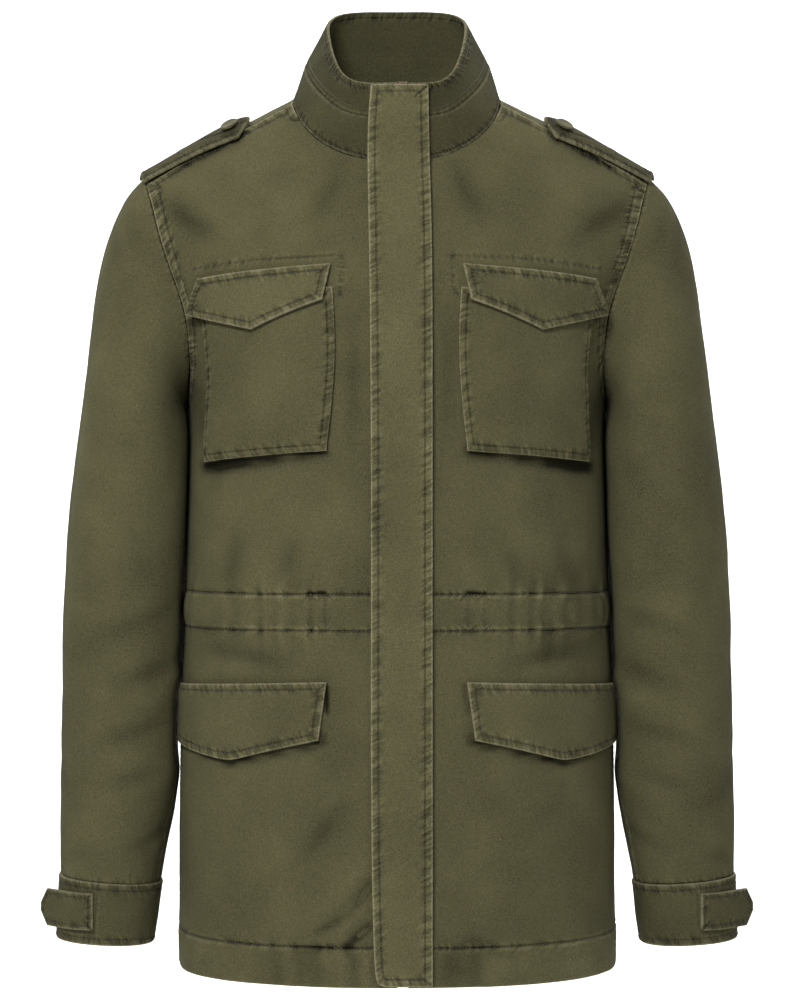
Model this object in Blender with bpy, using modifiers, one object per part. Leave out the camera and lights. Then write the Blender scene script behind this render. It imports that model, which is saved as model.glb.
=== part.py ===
"""A safari jacket of cotton twill, as it hangs on the wearer's shoulders, with nobody in it.

Tables and sizes are in millimetres and the meshes in metres. +X is the wearer's left, -Y the front, +Z up.
The origin is the middle of the neck opening, level with the tops of the shoulders.
"""

import math
from collections import namedtuple

import bmesh
import bpy
import numpy as np
from mathutils import Vector

MM = 0.001

# Driving sizes.
HEM = -741.0
HEM_FOLD = 32.0
UNDERARM = -262.0
CASING_TOP = -422.0
CASING_BOTTOM = -452.0
ZIP_X = 5.0
ZIP_HALF_GAP = 4.5
SEAM_GAP = 0.3
LAY_GAP = 0.8

# Thickness of the cloth where it is single, and where it is doubled and stitched.
BODY_CLOTH = 1.6
SLEEVE_CLOTH = 1.6
COLLAR_CLOTH = 2.6
PLACKET_CLOTH = 3.0
FLAP_CLOTH = 2.4
POCKET_CLOTH = 1.4
CUFF_CLOTH = 2.8
TAB_CLOTH = 2.6
EPAULETTE_CLOTH = 2.8
TAPE_CLOTH = 1.0

OLIVE = (0.105, 0.098, 0.052)
TAPE_OLIVE = (0.07, 0.066, 0.038)
BUTTON_OLIVE = (0.10, 0.085, 0.035)
BRASS = (0.23, 0.16, 0.10)

Section = namedtuple("Section", "height half_width front_depth back_depth")
BODY_SECTIONS = (
    Section(-760, 187.8, 138.5, 128),
    Section(-741, 187.6, 138, 128),
    Section(-680, 187.2, 136, 126),
    Section(-600, 187.0, 134, 122),
    Section(-520, 185.8, 131, 116),
    Section(-440, 182.5, 127, 111),
    Section(-345, 180.0, 128, 112),
    Section(-262, 179.0, 129, 117),
    Section(-241, 180.5, 128, 119),
    Section(-191, 194, 124, 121),
    Section(-143, 217, 115, 119),
    Section(-109, 230, 103, 112),
    Section(-61, 244, 81, 98),
    Section(0, 262, 70, 78),
    Section(40, 275, 64, 70),
)
SQUARENESS = 2.4  # of a level section: 2 is an ellipse

Ridge = namedtuple("Ridge", "across height")
SHOULDER_RIDGE = (
    Ridge(0, 30),
    Ridge(45, 21),
    Ridge(90, 2),
    Ridge(120, -14),
    Ridge(144, -25.5),
    Ridge(187, -50),
    Ridge(212, -64),
    Ridge(250, -86),
)
SHOULDER_DROP = 105.0
SHOULDER_SEAM_DROP = 13.0

NECK_HALF_WIDTH = 90.0
NECK_FRONT = -64.0
NECK_BACK = 4.0
NECK_CURVE = 1.1

ARMHOLE_TOP = -64.0
ARMHOLE_MIDDLE = -165.0
ARMHOLE_FRONT = 66.0
ARMHOLE_BACK = 76.0
ARMHOLE_CROWN = 1.2  # above 1 narrows the front of the armhole towards its top


def curve(table, key, value):
    """A smooth curve through one column of a table against another, for numbers or arrays."""
    xs = np.array([getattr(row, key) for row in table], float)
    ys = np.array([getattr(row, value) for row in table], float)
    if xs[0] > xs[-1]:
        xs, ys = xs[::-1], ys[::-1]
    slopes = np.gradient(ys, xs)

    def at(x):
        x = np.clip(x, xs[0], xs[-1])
        i = np.clip(np.searchsorted(xs, x) - 1, 0, len(xs) - 2)
        step = xs[i + 1] - xs[i]
        t = (x - xs[i]) / step
        rise = t * t * (3 - 2 * t)
        return (
            ys[i] * (1 - rise)
            + ys[i + 1] * rise
            + slopes[i] * step * t * (1 - t) ** 2
            - slopes[i + 1] * step * t * t * (1 - t)
        )

    return at


half_width = curve(BODY_SECTIONS, "height", "half_width")
front_depth = curve(BODY_SECTIONS, "height", "front_depth")
back_depth = curve(BODY_SECTIONS, "height", "back_depth")
ridge_height = curve(SHOULDER_RIDGE, "across", "height")


# The body's form. Level sections are superellipses, and near the shoulder ridge they close over it.
def closing(x, z):
    """How far a section still reaches below the ridge: 0 on the ridge, 1 where it is whole."""
    share = (ridge_height(np.abs(x)) - z) / SHOULDER_DROP
    return 1 - np.clip(1 - share, 0, 1) ** SQUARENESS


def body_level(x, y, z):
    """Below zero inside the body's form, and zero on it."""
    depth = np.where(y < 0, front_depth(z), back_depth(z))
    across = np.abs(x / half_width(z)) ** SQUARENESS
    return closing(x, z) * (across - 1) + (np.abs(y) / depth) ** SQUARENESS


def body_y(x, z, side):
    """The body's Y at a place seen from the front (side -1) or the back (side 1)."""
    depth = front_depth(z) if side < 0 else back_depth(z)
    rest = np.clip(1 - np.abs(x / half_width(z)) ** SQUARENESS, 0, 1)
    return side * depth * (closing(x, z) * rest) ** (1 / SQUARENESS)


def solve(level, low, high):
    """Halves an interval until level crosses zero: it is below zero at low."""
    for _ in range(50):
        middle = (low + high) / 2
        low, high = (middle, high) if level(middle) < 0 else (low, middle)
    return (low + high) / 2


def body_x(y, z):
    return solve(lambda x: float(body_level(x, y, z)), 0.0, 280.0)


def body_z(x, y):
    """The height of the shoulder at a place seen from above."""
    top = float(ridge_height(abs(x)))
    return solve(lambda z: float(body_level(x, y, z)), top - SHOULDER_DROP, top)


def body_normal(points):
    """Outward unit normals of the body's form at points on it."""
    points = np.asarray(points, float)
    step = 0.05
    slope = np.empty_like(points)
    for axis in range(3):
        ahead, behind = points.copy(), points.copy()
        ahead[..., axis] += step
        behind[..., axis] -= step
        slope[..., axis] = body_level(*np.moveaxis(ahead, -1, 0)) - body_level(
            *np.moveaxis(behind, -1, 0)
        )
    return slope / np.linalg.norm(slope, axis=-1, keepdims=True)


def around_body(turn, z):
    """The body's point at a turn from the front's middle (0) round the right side to the back (pi)."""
    power = 2 / SQUARENESS
    s, c = math.sin(turn), math.cos(turn)
    x = -half_width(z) * math.copysign(abs(s) ** power, s)
    depth = front_depth(z) if c > 0 else back_depth(z)
    y = -depth * math.copysign(abs(c) ** power, c) * closing(x, z) ** (1 / SQUARENESS)
    return np.array([float(x), float(y), z])


def turn_at(x, z):
    """The turn of a place on the front of the body, above zero where x is negative."""
    share = min(1.0, abs(x) / float(half_width(z)))
    return math.copysign(math.asin(share ** (SQUARENESS / 2)), -x)


# Places on the body's upper half: x, and a rise that is 0 on the ridge, -1 down the front and 1 down the back.
def rise_of(x, z, side):
    share = max(0.0, float(ridge_height(abs(x)) - z)) / SHOULDER_DROP
    if share >= 1:
        return side * share
    return side * math.acos(max(0.0, 1 - share) ** (SQUARENESS / 2)) / (math.pi / 2)


def at_rise(x, rise):
    angle = min(1.0, abs(rise)) * math.pi / 2
    share = abs(rise) if abs(rise) >= 1 else 1 - math.cos(angle) ** (2 / SQUARENESS)
    z = float(ridge_height(abs(x))) - SHOULDER_DROP * share
    side = -1 if rise < 0 else 1
    depth = float(front_depth(z) if rise < 0 else back_depth(z))
    across = max(0.0, 1 - abs(x / float(half_width(z))) ** SQUARENESS)
    y = side * depth * (math.sin(angle) ** 2 * across) ** (1 / SQUARENESS)
    return np.array([x, y, z])


SEAM_RISE = rise_of(150.0, float(ridge_height(150.0)) - SHOULDER_SEAM_DROP, -1)
SEAM_SHIFT = 0.0025  # of the rise, each side of the shoulder seam


def armhole(angle):
    """(x, rise) on the wearer's left armhole: angle 0 on the ridge, pi/2 in front, pi under the arm."""
    deep = ARMHOLE_FRONT if math.sin(angle) > 0 else ARMHOLE_BACK
    crown = ARMHOLE_CROWN if math.cos(angle) > 0 and math.sin(angle) > 0 else 1.0
    y = -math.copysign(deep * abs(math.sin(angle)) ** crown, math.sin(angle))
    reach = ARMHOLE_TOP - ARMHOLE_MIDDLE if math.cos(angle) > 0 else ARMHOLE_MIDDLE - UNDERARM
    z = ARMHOLE_MIDDLE + reach * math.cos(angle)
    x = body_x(y, z)
    return x, rise_of(x, z, -1 if y < 0 else 1)


def shoulder_end():
    """The armhole's angle where the shoulder seam meets it."""
    return solve(lambda angle: armhole(angle)[1] * -1 + SEAM_RISE, 0.02, 1.2)


SEAM_ANGLE = shoulder_end()


def neck_place(turn):
    """(x, rise) on the left half of the neckline: turn 0 in front, pi/2 on the ridge, pi behind."""
    side = -1 if turn < math.pi / 2 else 1
    lowest = NECK_FRONT if side < 0 else NECK_BACK
    x = NECK_HALF_WIDTH * math.sin(turn)
    lift = (1 - abs(math.cos(turn))) ** NECK_CURVE
    z = lowest + (float(ridge_height(NECK_HALF_WIDTH)) - lowest) * lift
    return x, rise_of(x, z, side)


NECK_SEAM_TURN = solve(lambda turn: neck_place(turn)[1] - SEAM_RISE, 0.6, 1.57)
NECK_FRONT_STEPS = 5
NECK_BACK_STEPS = 7
FRONT_STEPS_ABOVE = 12
BACK_STEPS_ABOVE = 14


def neck_turns(front_edge):
    """The neckline's turns at a front's rows and the back's, from the front edge to the back's middle."""
    start = math.asin(front_edge / NECK_HALF_WIDTH)
    front = np.linspace(start, NECK_SEAM_TURN, NECK_FRONT_STEPS + 1)
    back = np.linspace(NECK_SEAM_TURN, math.pi, NECK_BACK_STEPS + 1)
    return front, back


FRONT_ARM_ANGLES = np.linspace(math.pi, SEAM_ANGLE, FRONT_STEPS_ABOVE + 1)
BACK_ARM_ANGLES = np.linspace(math.pi, 2 * math.pi + SEAM_ANGLE, BACK_STEPS_ABOVE + 1)


# Cloth walls.
class Cloth:
    """A wall: pairs of points on its outer and inner side, and the faces that join the rows of pairs."""

    def __init__(self):
        self.outer, self.inner, self.faces, self.known = [], [], [], {}

    def pair(self, outer, inner):
        key = tuple(np.round(outer, 3))
        if key not in self.known:
            self.known[key] = len(self.outer)
            self.outer.append(outer)
            self.inner.append(inner)
        return self.known[key]

    def row(self, outers, inners):
        return [self.pair(o, i) for o, i in zip(outers, inners)]

    def join(self, low, high):
        """Faces between two rows, which may have different numbers of points."""
        if len(low) == len(high):
            for i in range(len(low) - 1):
                self.faces.append((low[i], low[i + 1], high[i + 1], high[i]))
            return
        i = j = 0
        while i < len(low) - 1 or j < len(high) - 1:
            low_next = (i + 1) / (len(low) - 1)
            high_next = (j + 1) / (len(high) - 1)
            if low_next <= high_next:
                self.faces.append((low[i], low[i + 1], high[j]))
                i += 1
            else:
                self.faces.append((low[i], high[j + 1], high[j]))
                j += 1

    def sheet(self, rows):
        """Joins each of a list of rows of ids to the next."""
        for low, high in zip(rows, rows[1:]):
            self.join(low, high)

    def triangles(self):
        """The outer faces, four-sided ones split along their shorter diagonal."""
        result = []
        for face in self.faces:
            face = tuple(dict.fromkeys(face))
            if len(face) == 4:
                a, b, c, d = face
                one = np.linalg.norm(np.subtract(self.outer[a], self.outer[c]))
                other = np.linalg.norm(np.subtract(self.outer[b], self.outer[d]))
                result += [(a, b, c), (a, c, d)] if one <= other else [(b, c, d), (b, d, a)]
            elif len(face) == 3:
                result.append(face)
        return result

    def closed_faces(self):
        """The outer faces, the inner ones turned round, and the rim between them."""
        faces = self.triangles()
        count = len(self.outer)
        once = {}
        for face in faces:
            for a, b in zip(face, face[1:] + face[:1]):
                if (b, a) in once:
                    del once[(b, a)]
                else:
                    once[(a, b)] = True
        rim = [(b, a, a + count, b + count) for a, b in once]
        return faces + [tuple(i + count for i in reversed(f)) for f in faces] + rim

    def build(self, name, material):
        mesh = bpy.data.meshes.new(name)
        points = np.array(self.outer + self.inner) * MM
        mesh.from_pydata(points.tolist(), [], self.closed_faces())
        work = bmesh.new()
        work.from_mesh(mesh)
        bmesh.ops.recalc_face_normals(work, faces=work.faces)
        work.to_mesh(mesh)
        work.free()
        mesh.shade_smooth()
        mesh.set_sharp_from_angle(angle=math.radians(50))
        return place(bpy.data.objects.new(name, mesh), material)


def place(obj, material):
    obj.data.materials.append(material)
    JACKET.objects.link(obj)
    return obj


def grid_normals(grid, closed=False):
    """Unit normals of a grid of points, rows by columns. A closed grid's last column meets its first."""
    grid = np.asarray(grid, float)
    if closed:
        along = np.roll(grid, -1, axis=1) - np.roll(grid, 1, axis=1)
    else:
        along = np.gradient(grid, axis=1)
    up = np.gradient(grid, axis=0)
    normal = np.cross(along, up)
    length = np.linalg.norm(normal, axis=2, keepdims=True)
    return normal / np.maximum(length, 1e-9)


# The soft folds that stand out most, as seen from the front: troughs are below zero.
Fold = namedtuple("Fold", "x z to_x to_z width depth")
FRONT_FOLDS = (
    Fold(-24, -628, -84, -716, 16, -2.6),
    Fold(-26, -670, -62, -722, 12, -2.2),
    Fold(-36, -600, -104, -668, 22, 2.0),
    Fold(110, -700, 70, -640, 18, -1.6),
    Fold(60, -690, 100, -560, 24, 1.2),
    Fold(-120, -360, -70, -300, 20, -1.4),
    Fold(120, -370, 66, -312, 20, -1.2),
    Fold(-70, -400, -40, -350, 14, -1.2),
    Fold(76, -396, 48, -352, 14, -1.0),
    Fold(-150, -640, -120, -560, 22, -1.5),
    Fold(150, -650, 118, -585, 22, -1.4),
)
BACK_FOLDS = (
    Fold(-60, -400, -100, -300, 24, -1.8),
    Fold(64, -396, 96, -290, 24, -1.6),
    Fold(-20, -480, -50, -600, 22, -1.6),
    Fold(40, -486, 66, -640, 24, -1.4),
    Fold(-120, -190, -140, -330, 18, -2.0),
    Fold(122, -190, 142, -320, 18, -1.8),
)


def steadied(x, near, far):
    """0 up to the distance near from the zip, 1 from the distance far on."""
    return min(1.0, max(0.0, (abs(x - ZIP_X) - near) / (far - near)))


def fold_relief(folds, x, z):
    """The height of all the folds together at a place."""
    total = 0.0
    for fold in folds:
        dx, dz = fold.to_x - fold.x, fold.to_z - fold.z
        along = ((x - fold.x) * dx + (z - fold.z) * dz) / (dx * dx + dz * dz)
        nearest = min(1.0, max(0.0, along))
        off = math.hypot(x - fold.x - nearest * dx, z - fold.z - nearest * dz)
        total += fold.depth * math.exp(-((off / fold.width) ** 2))
    return total


def front_folds(x, z):
    return fold_relief(FRONT_FOLDS, x, z) * steadied(x, 14, 36)


def back_folds(x, z):
    return fold_relief(BACK_FOLDS, x, z)


# Body panels.
GATHERS_FRONT = 10
GATHERS_BACK = 20
PUFF = 1.4
GATHER_HEIGHT = 1.1
STITCH_DIP = 1.0
Level = namedtuple("Level", "height puff dip gathers")
LEVELS = (
    Level(HEM, 0, 0, 0),
    Level(HEM + HEM_FOLD - 6, 1, 0, 0),
    Level(HEM + HEM_FOLD, 0, 1, 0),
    Level(-700, 0, 0, 0),
    Level(-664, 0, 0, 0),
    Level(-626, 0, 0, 0),
    Level(-588, 0, 0, 0),
    Level(-548, 0, 0, 0),
    Level(-506, 0, 0, 0),
    Level(-470, 0, 0, 0),
    Level(CASING_BOTTOM, 0, 1, 0.5),
    Level(CASING_BOTTOM + 9, 1, 0, 1),
    Level(CASING_TOP - 9, 1, 0, 1),
    Level(CASING_TOP, 0, 1, 0.5),
    Level(-404, 0, 0, 0),
    Level(-370, 0, 0, 0),
    Level(-334, 0, 0, 0),
    Level(-298, 0, 0, 0),
    Level(UNDERARM, 0, 0, 0),
)
FRONT_COLUMNS = 11
BACK_COLUMNS = 20
SIDE_SEAM = math.pi / 2


def level_relief(level, x, phase):
    wave = level.gathers * GATHER_HEIGHT * phase * steadied(x, 55, 90)
    return level.puff * PUFF - level.dip * STITCH_DIP + wave


def level_row(cloth, level, turns, folds, gathered):
    """One level row of a body panel, through the given turns."""
    base = np.array([around_body(turn, level.height) for turn in turns])
    normals = body_normal(base)
    normals[:, 2] *= 0.2  # the hem's and the seams' rims stay nearly level
    normals /= np.linalg.norm(normals, axis=1, keepdims=True)
    waves = [(1 if i % 2 else -1) * gathered for i in range(len(turns))]
    relief = [
        level_relief(level, p[0], wave) + folds(p[0], p[2]) for p, wave in zip(base, waves)
    ]
    relief[0] = relief[-1] = 0.0
    outer = base + normals * np.array(relief)[:, None]
    return cloth.row(outer, outer - normals * BODY_CLOTH)


def rise_row(cloth, inner_place, outer_place, first_row, fade, columns, folds, mirror):
    """One row above the underarm, from the neck or the middle to the armhole, on the left or mirrored."""
    points = []
    for i in range(columns + 1):
        near_arm = first_row["share"][i]
        even = i / columns
        share = near_arm * (1 - fade) + even * fade
        x = inner_place[0] + (outer_place[0] - inner_place[0]) * share
        rise = inner_place[1] + (outer_place[1] - inner_place[1]) * share
        rise += first_row["offset"][i] * (1 - fade) ** 2
        points.append(at_rise(x, rise))
    base = np.array(points)
    base[-1] = at_rise(*outer_place)
    normals = body_normal(base)
    relief = np.array([folds(p[0] * mirror, p[2]) for p in base])
    relief[0] = relief[-1] = 0.0
    outer = base + normals * relief[:, None]
    inner = outer - normals * BODY_CLOTH
    flip = np.array([mirror, 1, 1])
    return cloth.row(outer * flip, inner * flip)


def first_rise_row(start_x, side, columns):
    """How the row at the underarm's level spreads, for the rows above it to take over from."""
    edge = float(half_width(UNDERARM))
    start = turn_at(-start_x, UNDERARM)
    turns = np.linspace(start, SIDE_SEAM, columns + 1)
    xs = [abs(around_body(turn, UNDERARM)[0]) for turn in turns]
    share = [(x - start_x) / (edge - start_x) for x in xs]
    rises = [rise_of(x, UNDERARM, side) for x in xs]
    offset = [r - (rises[0] + (rises[-1] - rises[0]) * s) for r, s in zip(rises, share)]
    return {"share": share, "offset": offset}


def side_seam_turn(z, side):
    """The turn of a panel's edge at the side seam, half a gap short of the middle of the side."""
    depth = float(front_depth(z) if side < 0 else back_depth(z))
    short = (SEAM_GAP * 0.7 / depth) ** (SQUARENESS / 2)
    return SIDE_SEAM + side * short


def build_front(name, hand, material):
    """A front: hand 1 is the wearer's left, -1 the right."""
    cloth = Cloth()
    edge = ZIP_X * hand + ZIP_HALF_GAP
    rows = []
    for level in LEVELS:
        gathered = level.gathers > 0
        columns = 2 * GATHERS_FRONT if gathered else FRONT_COLUMNS
        last = side_seam_turn(level.height, -1)
        start = turn_at(-edge, level.height)
        turns = -hand * np.linspace(start, last, columns + 1)
        rows.append(level_row(cloth, level, turns, front_folds, gathered))
    spread = first_rise_row(edge, -1, FRONT_COLUMNS)
    neck, _ = neck_turns(edge)
    straight = FRONT_STEPS_ABOVE - NECK_FRONT_STEPS
    neck_corner = at_rise(*neck_place(neck[0]))
    for step in range(1, FRONT_STEPS_ABOVE + 1):
        if step <= straight:
            z = UNDERARM + (neck_corner[2] - UNDERARM) * step / straight
            inner_place = (edge, rise_of(edge, z, -1))
        else:
            inner_place = neck_place(neck[step - straight])
        outer_place = armhole(FRONT_ARM_ANGLES[step])
        if step == FRONT_STEPS_ABOVE:
            inner_place = (inner_place[0], SEAM_RISE - SEAM_SHIFT)
            outer_place = (outer_place[0], SEAM_RISE - SEAM_SHIFT)
        fade = step / FRONT_STEPS_ABOVE
        rows.append(
            rise_row(cloth, inner_place, outer_place, spread, fade, FRONT_COLUMNS, front_folds, hand)
        )
    cloth.sheet(rows)
    return cloth.build(name, material)


def build_back(name, material):
    cloth = Cloth()
    rows = []
    for level in LEVELS:
        gathered = level.gathers > 0
        columns = 2 * GATHERS_BACK if gathered else BACK_COLUMNS
        first = side_seam_turn(level.height, 1)
        turns = np.linspace(first, 2 * math.pi - first, columns + 1)
        rows.append(level_row(cloth, level, turns, back_folds, gathered))
    cloth.sheet(rows)
    half = BACK_COLUMNS // 2
    spread = first_rise_row(0.0, 1, half)
    _, neck = neck_turns(ZIP_HALF_GAP)
    straight = BACK_STEPS_ABOVE - NECK_BACK_STEPS
    for hand in (-1, 1):
        last = rows[-1][half::-1] if hand < 0 else rows[-1][half:]
        for step in range(1, BACK_STEPS_ABOVE + 1):
            if step <= straight:
                z = UNDERARM + (NECK_BACK - UNDERARM) * step / straight
                inner_place = (0.0, rise_of(0.0, z, 1))
            else:
                inner_place = neck_place(neck[-1 - (step - straight)])
            outer_place = armhole(BACK_ARM_ANGLES[step])
            if step == BACK_STEPS_ABOVE:
                inner_place = (inner_place[0], SEAM_RISE + SEAM_SHIFT)
                outer_place = (outer_place[0], SEAM_RISE + SEAM_SHIFT)
            fade = step / BACK_STEPS_ABOVE
            row = rise_row(cloth, inner_place, outer_place, spread, fade, half, back_folds, hand)
            if hand < 0:
                cloth.join(last[::-1], row[::-1])
            else:
                cloth.join(last, row)
            last = row
    return cloth.build(name, material)


# Sleeves. Each ring leans from its outer point, on the silhouette, to its inner one, beside the body.
Ring = namedtuple("Ring", "outer_x outer_z inner_x inner_z front_y back_y")
SLEEVE_RINGS = (
    Ring(230.5, -80, 181.4, -266.5, -72, 77),
    Ring(242, -101, 180.6, -270.5, -75, 79),
    Ring(251, -127, 178.5, -275, -78, 80),
    Ring(257.5, -158, 176.0, -280, -80, 81),
    Ring(262.5, -194, 173.5, -286, -81, 81.5),
    Ring(267, -232, 171.5, -293, -81, 81.5),
    Ring(271.5, -268, 170.0, -304, -80, 80.5),
    Ring(276.7, -306, 169.5, -322, -78, 79),
    Ring(281.2, -342, 169.8, -346, -75, 77),
    Ring(284.2, -380, 171.0, -380, -71, 73),
    Ring(285.9, -412, 172.0, -412, -69, 70),
    Ring(287.4, -440, 173.0, -440, -68, 67),
    Ring(288.1, -470, 174.0, -470, -67.5, 64),
    Ring(288.3, -500, 177.0, -500, -67, 60),
    Ring(288.5, -532, 179.0, -532, -66, 56),
    Ring(289.1, -564, 178.5, -564, -64.5, 52),
    Ring(289.5, -596, 186.0, -596, -62.5, 48.5),
    Ring(289.8, -622, 193.6, -624, -60.5, 45),
    Ring(289.1, -644, 199, -650, -58.5, 41),
    Ring(288.6, -663.7, 202.4, -670.7, -57, 38),
)
SLEEVE_SQUARENESS = 2.15
ARMHOLE_FADE = 5  # the rings over which the armhole's own shape fades out
SLEEVE_ROUND = 60.0  # millimetres of cloth to one radian round the sleeve, for its folds
SLEEVE_FOLDS = (
    Fold(150, -466, 92, -492, 12, -2.2),
    Fold(158, -506, 84, -530, 12, -2.4),
    Fold(128, -548, 70, -560, 12, -1.6),
    Fold(30, -300, 66, -420, 16, -1.4),
    Fold(250, -310, 290, -440, 18, -1.6),
    Fold(214, -520, 290, -500, 14, -1.8),
    Fold(200, -590, 260, -575, 12, -1.4),
)
FRONT_RING_ANGLES = FRONT_ARM_ANGLES[::-1]
RING_ANGLES = np.concatenate([FRONT_RING_ANGLES, BACK_ARM_ANGLES[1:-1]])

# The sleeve's inner side leans on the body and takes its shape, clear of the casing's puff and the hip flap.
LEAN_GAP = 1.0
LEAN_FOLD_FADE = 0.9  # radians each side of the inner point over which the sleeve's folds come in
Standoff = namedtuple("Standoff", "height side")
LEAN_STANDOFFS = (
    Standoff(-600, 0.0),
    Standoff(-566, 4.4),
    Standoff(-498, 4.4),
    Standoff(-472, 0.8),
    Standoff(-462, 2.6),
    Standoff(-410, 2.6),
    Standoff(-396, 0.0),
)


def lean_limit(y, z):
    """The nearest that the sleeve comes to the middle at a place beside the body."""
    depth = float(front_depth(z) if y < 0 else back_depth(z))
    across = max(0.0, 1 - abs(y / depth) ** SQUARENESS) ** (1 / SQUARENESS)
    heights = [row.height for row in LEAN_STANDOFFS]
    sides = [row.side for row in LEAN_STANDOFFS]
    return float(half_width(z)) * across + float(np.interp(z, heights, sides)) + LEAN_GAP


def ring_point(ring, angle):
    s, c = math.sin(angle), math.cos(angle)
    power = 2 / SLEEVE_SQUARENESS
    along = math.copysign(abs(c) ** power, c)
    across = math.copysign(abs(s) ** power, s)
    middle_y = (ring.front_y + ring.back_y) / 2
    return np.array(
        [
            (ring.outer_x + ring.inner_x + (ring.outer_x - ring.inner_x) * along) / 2,
            middle_y - (ring.back_y - ring.front_y) / 2 * across,
            (ring.outer_z + ring.inner_z + (ring.outer_z - ring.inner_z) * along) / 2,
        ]
    )


def armhole_ring():
    """The sleeve's edge on the wearer's left: the armhole's points, a seam's gap further into the hole."""
    points = np.array([at_rise(*armhole(angle)) for angle in RING_ANGLES])
    along = np.roll(points, -1, axis=0) - np.roll(points, 1, axis=0)
    into = np.cross(body_normal(points), along)
    into /= np.linalg.norm(into, axis=1, keepdims=True)
    towards = points.mean(axis=0) - points
    into *= np.sign((into * towards).sum(axis=1, keepdims=True))
    return points + into * SEAM_GAP


def sleeve_rings():
    first = armhole_ring()
    seam = Ring(first[0][0], ARMHOLE_TOP, float(half_width(UNDERARM)), UNDERARM, -ARMHOLE_FRONT, ARMHOLE_BACK)
    off_shape = first - np.array([ring_point(seam, angle) for angle in RING_ANGLES])
    rings = [first]
    for number, ring in enumerate(SLEEVE_RINGS, 1):
        plain = np.array([ring_point(ring, angle) for angle in RING_ANGLES])
        fade = max(0.0, 1 - number / ARMHOLE_FADE) ** 1.5
        shaped = plain + off_shape * fade * np.array([1, 1, 0.4])
        for point in shaped:
            if point[2] < UNDERARM:
                point[0] = max(point[0], lean_limit(point[1], point[2]))
        rings.append(shaped)
    return np.array(rings)


def sleeve_surface():
    """The rings with their folds, and their outward normals."""
    rings = sleeve_rings()
    normals = grid_normals(rings, closed=True)
    over = 2 * np.clip(np.cos(RING_ANGLES), 0, 1)  # over the shoulder the sleeve's rim follows the body's
    shared = normals[0] + body_normal(rings[0]) * over[:, None]
    normals[0] = shared / np.linalg.norm(shared, axis=1, keepdims=True)
    for number in range(1, len(rings) - 1):
        for i, angle in enumerate(RING_ANGLES):
            relief = fold_relief(SLEEVE_FOLDS, angle * SLEEVE_ROUND, rings[number][i][2])
            free = min(1.0, abs(angle - math.pi) / LEAN_FOLD_FADE) ** 2
            rings[number][i] += normals[number][i] * min(relief, 0.0) * free
    return rings, normals


def tube(name, rings, normals, thickness, hand, material):
    """A wall round closed rings on the wearer's left, or mirrored for the right when hand is -1."""
    cloth = Cloth()
    flip = np.array([hand, 1, 1])
    rows = []
    for ring, normal in zip(rings, normals):
        row = cloth.row(ring * flip, (ring - normal * thickness) * flip)
        rows.append(row + row[:1])
    cloth.sheet(rows)
    return cloth.build(name, material)


# Cuffs and their tabs.
CuffRing = namedtuple("CuffRing", "outer_x outer_z inner_x inner_z front_y back_y")
CUFF_TOP = CuffRing(290.2, -664, 201, -671, -58.4, 39.4)
CUFF_END = CuffRing(292, -717.5, 208, -722.5, -57.5, 33)
CUFF_LEVELS = (0, 0.08, 0.5, 0.92, 1)
CUFF_BULGE = 0.8
TAB_STAND = 0.8
TabStation = namedtuple("TabStation", "angle beyond top bottom")  # beyond is past where it leaves the cuff
TAB_STATIONS = (
    TabStation(82, 0, -675.5, -706.5),
    TabStation(73, 0, -675.5, -706.5),
    TabStation(64, 0, -675.4, -706.6),
    TabStation(55, 0, -675.3, -706.6),
    TabStation(46, 0, -675.2, -706.7),
    TabStation(46, 14, -675.2, -706.8),
    TabStation(46, 24, -675.3, -706.9),
    TabStation(46, 33, -688.0, -695.0),
)
TAB_ROWS = 4


def cuff_rings():
    rings = []
    for share in CUFF_LEVELS:
        ring = CuffRing(*(a + (b - a) * share for a, b in zip(CUFF_TOP, CUFF_END)))
        points = np.array([ring_point(ring, angle) for angle in RING_ANGLES])
        rings.append(points)
    rings = np.array(rings)
    normals = grid_normals(rings, closed=True)
    bulge = CUFF_BULGE * np.sin(np.pi * np.array(CUFF_LEVELS))
    return rings + normals * bulge[:, None, None], normals


def tab_path():
    """The tab's places in plan: round the cuff, and then straight on."""
    middle = CuffRing(*((a + b) / 2 for a, b in zip(CUFF_TOP, CUFF_END)))
    path = []
    for station in TAB_STATIONS:
        here = ring_point(middle, math.radians(station.angle))
        ahead = ring_point(middle, math.radians(station.angle - 1))
        along = (ahead - here) / np.linalg.norm((ahead - here)[:2])
        path.append((here + along * station.beyond)[:2])
    return np.array(path)


def build_tab(name, hand, material):
    cloth = Cloth()
    flip = np.array([hand, 1, 1])
    path = tab_path()
    along = np.gradient(path, axis=0)
    out = np.stack([along[:, 1], -along[:, 0]], axis=1)
    out /= np.linalg.norm(out, axis=1, keepdims=True)
    rows = []
    for station, at, away in zip(TAB_STATIONS, path, out):
        heights = np.linspace(station.bottom, station.top, TAB_ROWS + 1)
        stand = CUFF_BULGE + TAB_STAND
        inner = [(*(at + away * stand), z) for z in heights]
        outer = [(*(at + away * (stand + TAB_CLOTH)), z) for z in heights]
        rows.append(cloth.row(np.array(outer) * flip, np.array(inner) * flip))
    cloth.sheet(rows)
    return cloth.build(name, material)


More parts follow.
